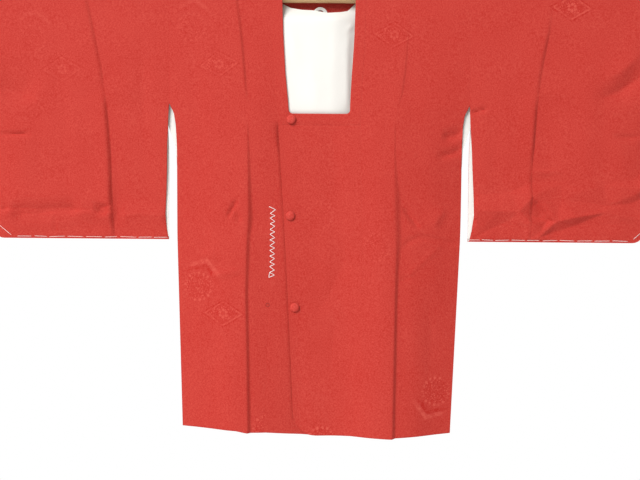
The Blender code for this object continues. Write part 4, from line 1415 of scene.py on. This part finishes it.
def rounded(distance):
    """How far a neck corner's rounding carries the inner edge across and along, by way from the mitre."""
    turn = math.pi / 4 * (1 - np.clip(distance / NECK_ROUNDING, 0.0, 1.0))
    across = NECK_ROUNDING * (1 - np.cos(turn))
    along = NECK_ROUNDING * (1 - np.sin(turn)) - np.clip(distance, 0.0, NECK_ROUNDING)
    return across, along


def make_collar_side(side):
    sign = SIGNS[side]
    fine_from = FRAME_SEAM + COLLAR_FINE
    level = np.concatenate([levels(0.0, fine_from, ROW_STEP)[:-1],
                            levels(fine_from, FRAME_SEAM, COLLAR_FINE_STEP)])
    level = np.broadcast_to(level[:, None], (len(level), len(ACROSS)))
    x = mix(*collar_edges(side, level), ACROSS)
    z = level * mix(1.0, NECK_BOTTOM / FRAME_SEAM, ACROSS)
    in_x, up = rounded(z - mix(FRAME_SEAM, NECK_BOTTOM, ACROSS))
    x = sign * (x - in_x * ACROSS ** 2)
    z = z + up * ACROSS ** 2
    depth = body_depth(x, z, "front") + COLLAR_PROUD - collar_roll(ACROSS) * from_shoulder(z)
    if side == "right":
        depth = depth + lift(x, z)
    front = np.stack([x, -depth, z], axis=-1)
    arch = over_rod(front[0, :, 0], SHOULDER + COLLAR_PROUD)
    end_x = sign * mix(*collar_edges(side, 0.0), ACROSS)
    end = np.stack([end_x, np.full(len(ACROSS), SHOULDER + COLLAR_PROUD), np.zeros(len(ACROSS))], axis=-1)
    piece = collar_shell(f"{side}_collar", f"collar_{side}", np.concatenate([front[::-1], arch, end[None]]))


def make_collar_bar(name, node_name, mitre_side):
    """The bar under the neck. Its far end is mitred to the frame's side, and its near end lies free."""
    over = mitre_side == "right"
    across = ACROSS[::-1][:, None]
    outer = float(at(FRONT_SEAMS, "right", FRAME_SEAM))
    half = mix(outer, outer - COLLAR_WIDTH, across)
    free = -1 if over else 1
    ends = [free * half, -free * (half - SEAM_GAP * math.sqrt(2))]
    x = mix(ends[0], ends[1], BAR_RUN[None, :])
    z = np.broadcast_to(mix(FRAME_SEAM, NECK_BOTTOM, across), x.shape)
    for end, inward in zip(ends, (-free, free)):
        in_z, along = rounded(np.abs(x - end))
        z = z + in_z * across ** 2
        x = x + inward * along * across ** 2
    depth = body_depth(x, z, "front") + COLLAR_PROUD - collar_roll(across)
    depth = depth + (lift(x, z) if over else -tuck(x, np.full(x.shape, FRAME_SEAM)))
    depth = depth - roll(np.abs(x - ends[0])) - dip(across * COLLAR_WIDTH, BAR_DIP, BAR_DIP_WIDTH)
    piece = collar_shell(name, node_name, np.stack([x, -depth, z], axis=-1))


def make_collar_back():
    """The band round the back of the neck, which dips behind the rod."""
    share = np.linspace(-1.0, 1.0, NECK_COLUMNS)
    seam = np.where(share > 0, NECK_SEAM_BACK["right"], NECK_SEAM_BACK["left"])
    end = np.abs(share) == 1
    low_x = share * np.where(end, seam - SEAM_GAP, seam)
    low = np.where(end, -SEAM_GAP, neck_seam_height(low_x) + SEAM_GAP)
    high = -COLLAR_TOP_DIP * (1 - np.abs(share) ** COLLAR_TOP_POWER) - SEAM_GAP
    across = ACROSS[:, None]
    x = mix(low_x, share * (seam - COLLAR_WIDTH), across)
    z = mix(low, high, across)
    depth = body_base(x, z) + COLLAR_PROUD - collar_roll(across)
    piece = collar_shell("back_collar", "collar_back", np.stack([x, depth, z], axis=-1))


# Lining

def make_lining_back():
    """The lining inside the back, which comes forward to the collar where it shows in the neck."""
    x = np.linspace(-LINING_BACK_HALF, LINING_BACK_HALF, LINING_COLUMNS)
    share = np.linspace(0.0, 1.0, LINING_ROWS)[:, None]
    z = mix(np.minimum(neck_seam_height(x), LINING_BACK_TOP), LINING_BACK_BOTTOM, share)
    x = np.broadcast_to(x, z.shape)
    wall = np.minimum(body_base(x, z), body_depth(x, z, "back"))
    swell = LINING_SWELL * ease(-z / LINING_SWELL_TOP - LINING_SWELL_DELAY)
    swell = swell * ease(1 + (z - LINING_SWELL_FOOT) / LINING_SWELL_FADE)
    left, right = (1 - ease((sign * x - start) / width) for sign, start, width in LINING_SWELL_SIDES)
    swell = swell * mix(left, right, x > 0)
    below_neck = ease((NECK_BOTTOM + LINING_LAP_FROM - z) / LINING_LAP_WIDTH)
    behind = mix(LINING_BEHIND_COLLAR, LINING_BEHIND_LAP, below_neck)
    near = behind + COLLAR_SHELL - body_depth(x, z, "front")
    depth = mix(wall - CLOTH - LINING_GAP, near, swell) - wrinkles(x, z, "lining")
    piece = shell("back_lining", "lining_back", "white_lining", np.stack([x, depth, z], axis=-1),
                  LINING_SHELL, LINING_SILK)


def lining_strip(name, node_name, x, z, depths, share):
    """A strip of lining. Its outer edge, in its first columns, stands forward by a share of the opening."""
    front, back = depths
    across = np.linspace(0.0, 1.0, x.shape[1])
    forward = share * (front + back) * ease((STRIP_FORWARD_TO - across) / STRIP_FORWARD_WIDTH)
    points = np.stack([x, back - CLOTH - LINING_GAP - forward, z], axis=-1)
    piece = shell(name, node_name, "white_lining", points, SLIT_SHELL, LINING_SILK)


def make_slit_linings(side):
    """The lining seen at the open side: on the inside of the back, and along the sleeve's inner edge."""
    sign = SIGNS[side]
    share = np.linspace(0.0, 1.0, STRIP_COLUMNS)
    z = levels(SLIT_LINING_TOP, SLIT_LINING_BOTTOM, STRIP_STEP)[:, None] + 0 * share
    x = sign * (body_edge(side, "back", z) - SLIT_LINING_INSET - SLIT_LINING_WIDTH * share)
    lining_strip(f"{side}_slit_lining", f"lining_slit_{side}", x, z,
                 (body_depth(x, z, "front"), body_depth(x, z, "back")),
                 SLIT_FORWARD)
    z = levels(FRAME_SEAM, FURI_LINING_BOTTOM, STRIP_STEP)[:, None] + 0 * share
    x = sign * (sleeve_edge(side, "back", z) - FURI_LINING_PROUD + FURI_LINING_WIDTH * share)
    lining_strip(f"{side}_sleeve_lining", f"lining_furi_{side}", x, z,
                 (sleeve_depth(x, z, side, "front"), sleeve_depth(x, z, side, "back")),
                 FURI_FORWARD)


# Hanger loop

def make_loop():
    """A folded ribbon sewn in at the back neck's seam, standing up as an arch."""
    turn = np.linspace(-LOOP_TURN_MORE, math.pi + LOOP_TURN_MORE, 41)[:, None]
    share = np.linspace(-0.5, 0.5, 9)[None, :]
    foot = float(body_base(0.0, LOOP_FOOT)) - CLOTH - LINING_SHELL - 2 * LINING_GAP
    x = (LOOP_HALF + LOOP_RIBBON * share) * np.cos(turn)
    z = LOOP_FOOT + (LOOP_HEIGHT + LOOP_RIBBON * share) * np.sin(turn)
    depth = foot - LOOP_BULGE * (1 - (2 * share) ** 2) + 0 * turn
    piece = shell("loop_ribbon_arch", "hanger_loop", "loop_ribbon", np.stack([x, depth, z], axis=-1),
                  LOOP_CLOTH, RIBBON)


# Buttons

BUTTON_RADIUS = 0.009
BUTTON_RIM = 0.0022
BUTTON_DOME = 0.0040
BUTTON_SPOKES = 64
BUTTON_GATHERS = 16
BUTTON_BACK = [(0.0088, 0.0012), (0.0080, 0.0003), (0.0066, 0.0)]
BUTTON_PLEAT = 0.00022
BUTTON_PLEAT_FROM = 0.0072
BUTTON_PLEAT_WIDTH = 0.0016
BUTTON_PLEAT_TOP = 0.002


def make_button(name):
    """Crepe stretched over a dome and gathered to the back in small uneven pleats."""
    low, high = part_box(name)
    centre = ((low[0] + high[0]) / 2, (low[2] + high[2]) / 2)
    back = high[1]
    spokes = np.linspace(0.0, 2 * math.pi, BUTTON_SPOKES, endpoint=False)
    profile = [(BUTTON_RADIUS * math.cos(turn), BUTTON_RIM + BUTTON_DOME * math.sin(turn))
               for turn in np.linspace(math.pi / 2, 0.0, 13)[1:]]
    profile += BUTTON_BACK
    verts = [(centre[0], back - BUTTON_RIM - BUTTON_DOME, centre[1])]
    for radius, height in profile:
        pleat = 0.0
        if height < BUTTON_RIM + BUTTON_PLEAT_TOP:
            pleat = float(BUTTON_PLEAT * ease((radius - BUTTON_PLEAT_FROM) / BUTTON_PLEAT_WIDTH))
        for spoke in spokes:
            r = radius + pleat * math.sin(BUTTON_GATHERS * spoke + math.sin(3 * spoke))
            verts.append((centre[0] + r * math.cos(spoke), back - height, centre[1] + r * math.sin(spoke)))
    verts.append((centre[0], back, centre[1]))
    faces = [(0, 1 + (i + 1) % BUTTON_SPOKES, 1 + i) for i in range(BUTTON_SPOKES)]
    faces += ring_faces(1, len(profile), BUTTON_SPOKES)
    start = 1 + (len(profile) - 1) * BUTTON_SPOKES
    faces += [(len(verts) - 1, start + i, start + (i + 1) % BUTTON_SPOKES) for i in range(BUTTON_SPOKES)]
    mesh = smooth_mesh(f"covered_{name}", verts, faces, BUTTON_CREPE_PAINTED_LIGHTER)
    bm = bmesh.new()
    bm.from_mesh(mesh)
    bmesh.ops.recalc_face_normals(bm, faces=bm.faces)
    bm.to_mesh(mesh)
    bm.free()
    place_piece(f"covered_{name}", mesh, (name,))


# Threads

def tube(path, radius, sides=6):
    """Vertices and faces of a round thread along a path, with closed ends."""
    path = np.asarray(path, float)
    ahead = np.gradient(path, axis=0)
    ahead /= np.linalg.norm(ahead, axis=1)[:, None]
    side = np.cross(ahead, (0.0, 1.0, 0.0))
    side /= np.linalg.norm(side, axis=1)[:, None]
    up = np.cross(side, ahead)
    turns = np.linspace(0.0, 2 * math.pi, sides, endpoint=False)[None, :, None]
    rings = path[:, None] + radius * (np.cos(turns) * side[:, None] + np.sin(turns) * up[:, None])
    faces = ring_faces(0, len(path), sides)
    faces.append(tuple(range(sides))[::-1])
    faces.append(tuple(range((len(path) - 1) * sides, len(path) * sides)))
    return rings.reshape(-1, 3), faces


def make_threads(name, paths, radius, finish=THREAD):
    verts, faces = [], []
    for path in paths:
        new_verts, new_faces = tube(path, radius)
        faces += [tuple(i + len(verts) for i in face) for face in new_faces]
        verts += new_verts.tolist()
    mesh = smooth_mesh(name, verts, faces, finish)
    place_piece(name, mesh)


def on_cloth(start, stop, depth_of, radius, face, waypoints=9):
    """A stitch from one point to another over the cloth, its ends going into it."""
    share = np.linspace(0.0, 1.0, waypoints)
    x, z = (mix(a, b, share) for a, b in zip(start, stop))
    proud = radius * (STITCH_ARCH * np.sin(math.pi * share) ** STITCH_POWER - STITCH_SUNK)
    return np.stack([x, OUTWARD[face] * (depth_of(x, z) + proud), z], axis=-1)


def make_basting(side):
    """Running basting along the sleeve's bottom: long dashes on the front, the gaps crossed on the back."""
    def stitch(start, stop, face):
        return on_cloth(start, stop, lambda x, z: sleeve_depth(x, z, side, face), BASTING, face)

    dashes = np.array(DASHES[side]) * MILLIMETRE
    paths = []
    for number, (start, stop) in enumerate(dashes):
        sag = DASH_SAG * math.sin(DASH_SAG_TURN * number)
        paths.append(stitch((start, DASH_LEVEL + sag), (stop, DASH_LEVEL - sag * DASH_SAG_END), "front"))
    paths.append(stitch(*CORNER_DASHES[side], "front"))
    for (_, start), (stop, _) in zip(dashes, dashes[1:]):
        middle = (start + stop) / 2
        paths.append(stitch((middle - BACK_STITCH, DASH_LEVEL), (middle + BACK_STITCH, DASH_LEVEL), "back"))
    make_threads(f"{side}_sleeve_basting", paths, BASTING)


def front_depth(x, z):
    return body_depth(x, z, "front")


def make_pocket_basting():
    """Zigzag basting that holds the pocket's mouth in the seam shut, closed by a stroke at each end."""
    corners = []
    for i, z in enumerate(np.linspace(POCKET_TOP, POCKET_BOTTOM, 2 * POCKET_TEETH + 1)):
        wander = POCKET_WANDER * math.sin(POCKET_WANDER_TURN * i)
        corners.append((POCKET_NEAR if i % 2 else POCKET_FAR, z + wander))
    foot = np.array(corners[-1])
    closing = foot + POCKET_TAIL, (POCKET_NEAR, foot[1] - POCKET_CLOSE), foot
    corners = [*POCKET_START, *corners[2:], *closing]
    paths = [on_cloth(start, stop, front_depth, POCKET_THREAD, "front", 7)
             for start, stop in zip(corners, corners[1:])]
    make_threads("pocket_basting", paths, POCKET_THREAD)


def make_thread_ring():
    """A tailor's tack: a small ring of thread left on the cloth."""
    turns = np.linspace(0.0, RING_TURN, 19)
    x = RING_PLACE[0] + RING_RADIUS * np.cos(turns)
    z = RING_PLACE[1] + RING_RADIUS * np.sin(turns)
    depth = front_depth(x, z) + RING_THREAD * STITCH_SUNK
    make_threads("tack_ring", [np.stack([x, -depth, z], axis=-1)], RING_THREAD, RED_THREAD)


# Camera, light and floor

def make_camera():
    data = bpy.data.cameras.new("photo_camera")
    data.sensor_width = SENSOR
    data.lens = SENSOR * VIEW_DISTANCE / VIEW_WIDTH
    camera = add_object("photo_camera", data)
    right = Vector((math.cos(ROLL), 0.0, math.sin(ROLL)))
    up = Vector((-math.sin(ROLL), 0.0, math.cos(ROLL)))
    back = Vector((0.0, -1.0, 0.0))
    place = Vector((VIEW_MIDDLE[0], FRONT_PLANE - VIEW_DISTANCE, VIEW_MIDDLE[1]))
    turn = Matrix((right, up, back)).transposed()
    camera.matrix_world = Matrix.Translation(place) @ turn.to_4x4()
    bpy.context.scene.camera = camera


def make_light(name, place, power, size):
    data = bpy.data.lights.new(name, "AREA")
    data.energy = power
    data.size = size
    light = add_object(name, data)
    light.location = place
    light.rotation_euler = (Vector(LIGHT_AIM) - Vector(place)).to_track_quat("-Z", "Y").to_euler()


def make_surroundings():
    world = bpy.data.worlds.new("studio")
    world.use_nodes = True
    tree = world.node_tree
    way = components(tree, node(tree, "ShaderNodeTexCoord").outputs["Generated"])[1]
    sky = tree.nodes["Background"]
    sky.inputs["Color"].default_value = (1.0, 1.0, 1.0, 1.0)
    plug(tree, sky.inputs["Strength"], way.eased(0.0, SKY_TURN, SKY_FRONT, SKY_BACK))
    bpy.context.scene.world = world
    bpy.context.scene.view_settings.view_transform = "Standard"
    make_light("key", KEY_PLACE, KEY_POWER, KEY_SIZE)
    make_light("back_fill", BACK_PLACE, BACK_POWER, BACK_SIZE)
    (x0, y0), (x1, y1) = FLOOR_CORNERS
    corners = [(x, y, FLOOR_LEVEL) for x, y in ((x0, y0), (x1, y0), (x1, y1), (x0, y1))]
    mesh = bpy.data.meshes.new("floor")
    mesh.from_pydata(corners, [], [(0, 1, 2, 3)])
    mesh.materials.append(matt("floor_paint", FLOOR_COLOUR))
    add_object("floor", mesh)


make_camera()
make_surroundings()
for coat_side in SIGNS:
    make_body(coat_side)
    make_sleeve(coat_side)
    make_collar_side(coat_side)
    make_basting(coat_side)
make_bands()
make_collar_bar("over_collar_bar", "collar_front_over", "right")
make_collar_bar("under_collar_bar", "collar_front_under", "left")
make_collar_back()
make_lining_back()
for coat_side in SIGNS:
    make_slit_linings(coat_side)
make_loop()
for button in ("button_top", "button_middle", "button_bottom"):
    make_button(button)
make_pocket_basting()
make_thread_ring()
rod = bpy.data.objects["hanging_rod"]
rod.data.materials.clear()
rod.data.materials.append(WOOD)
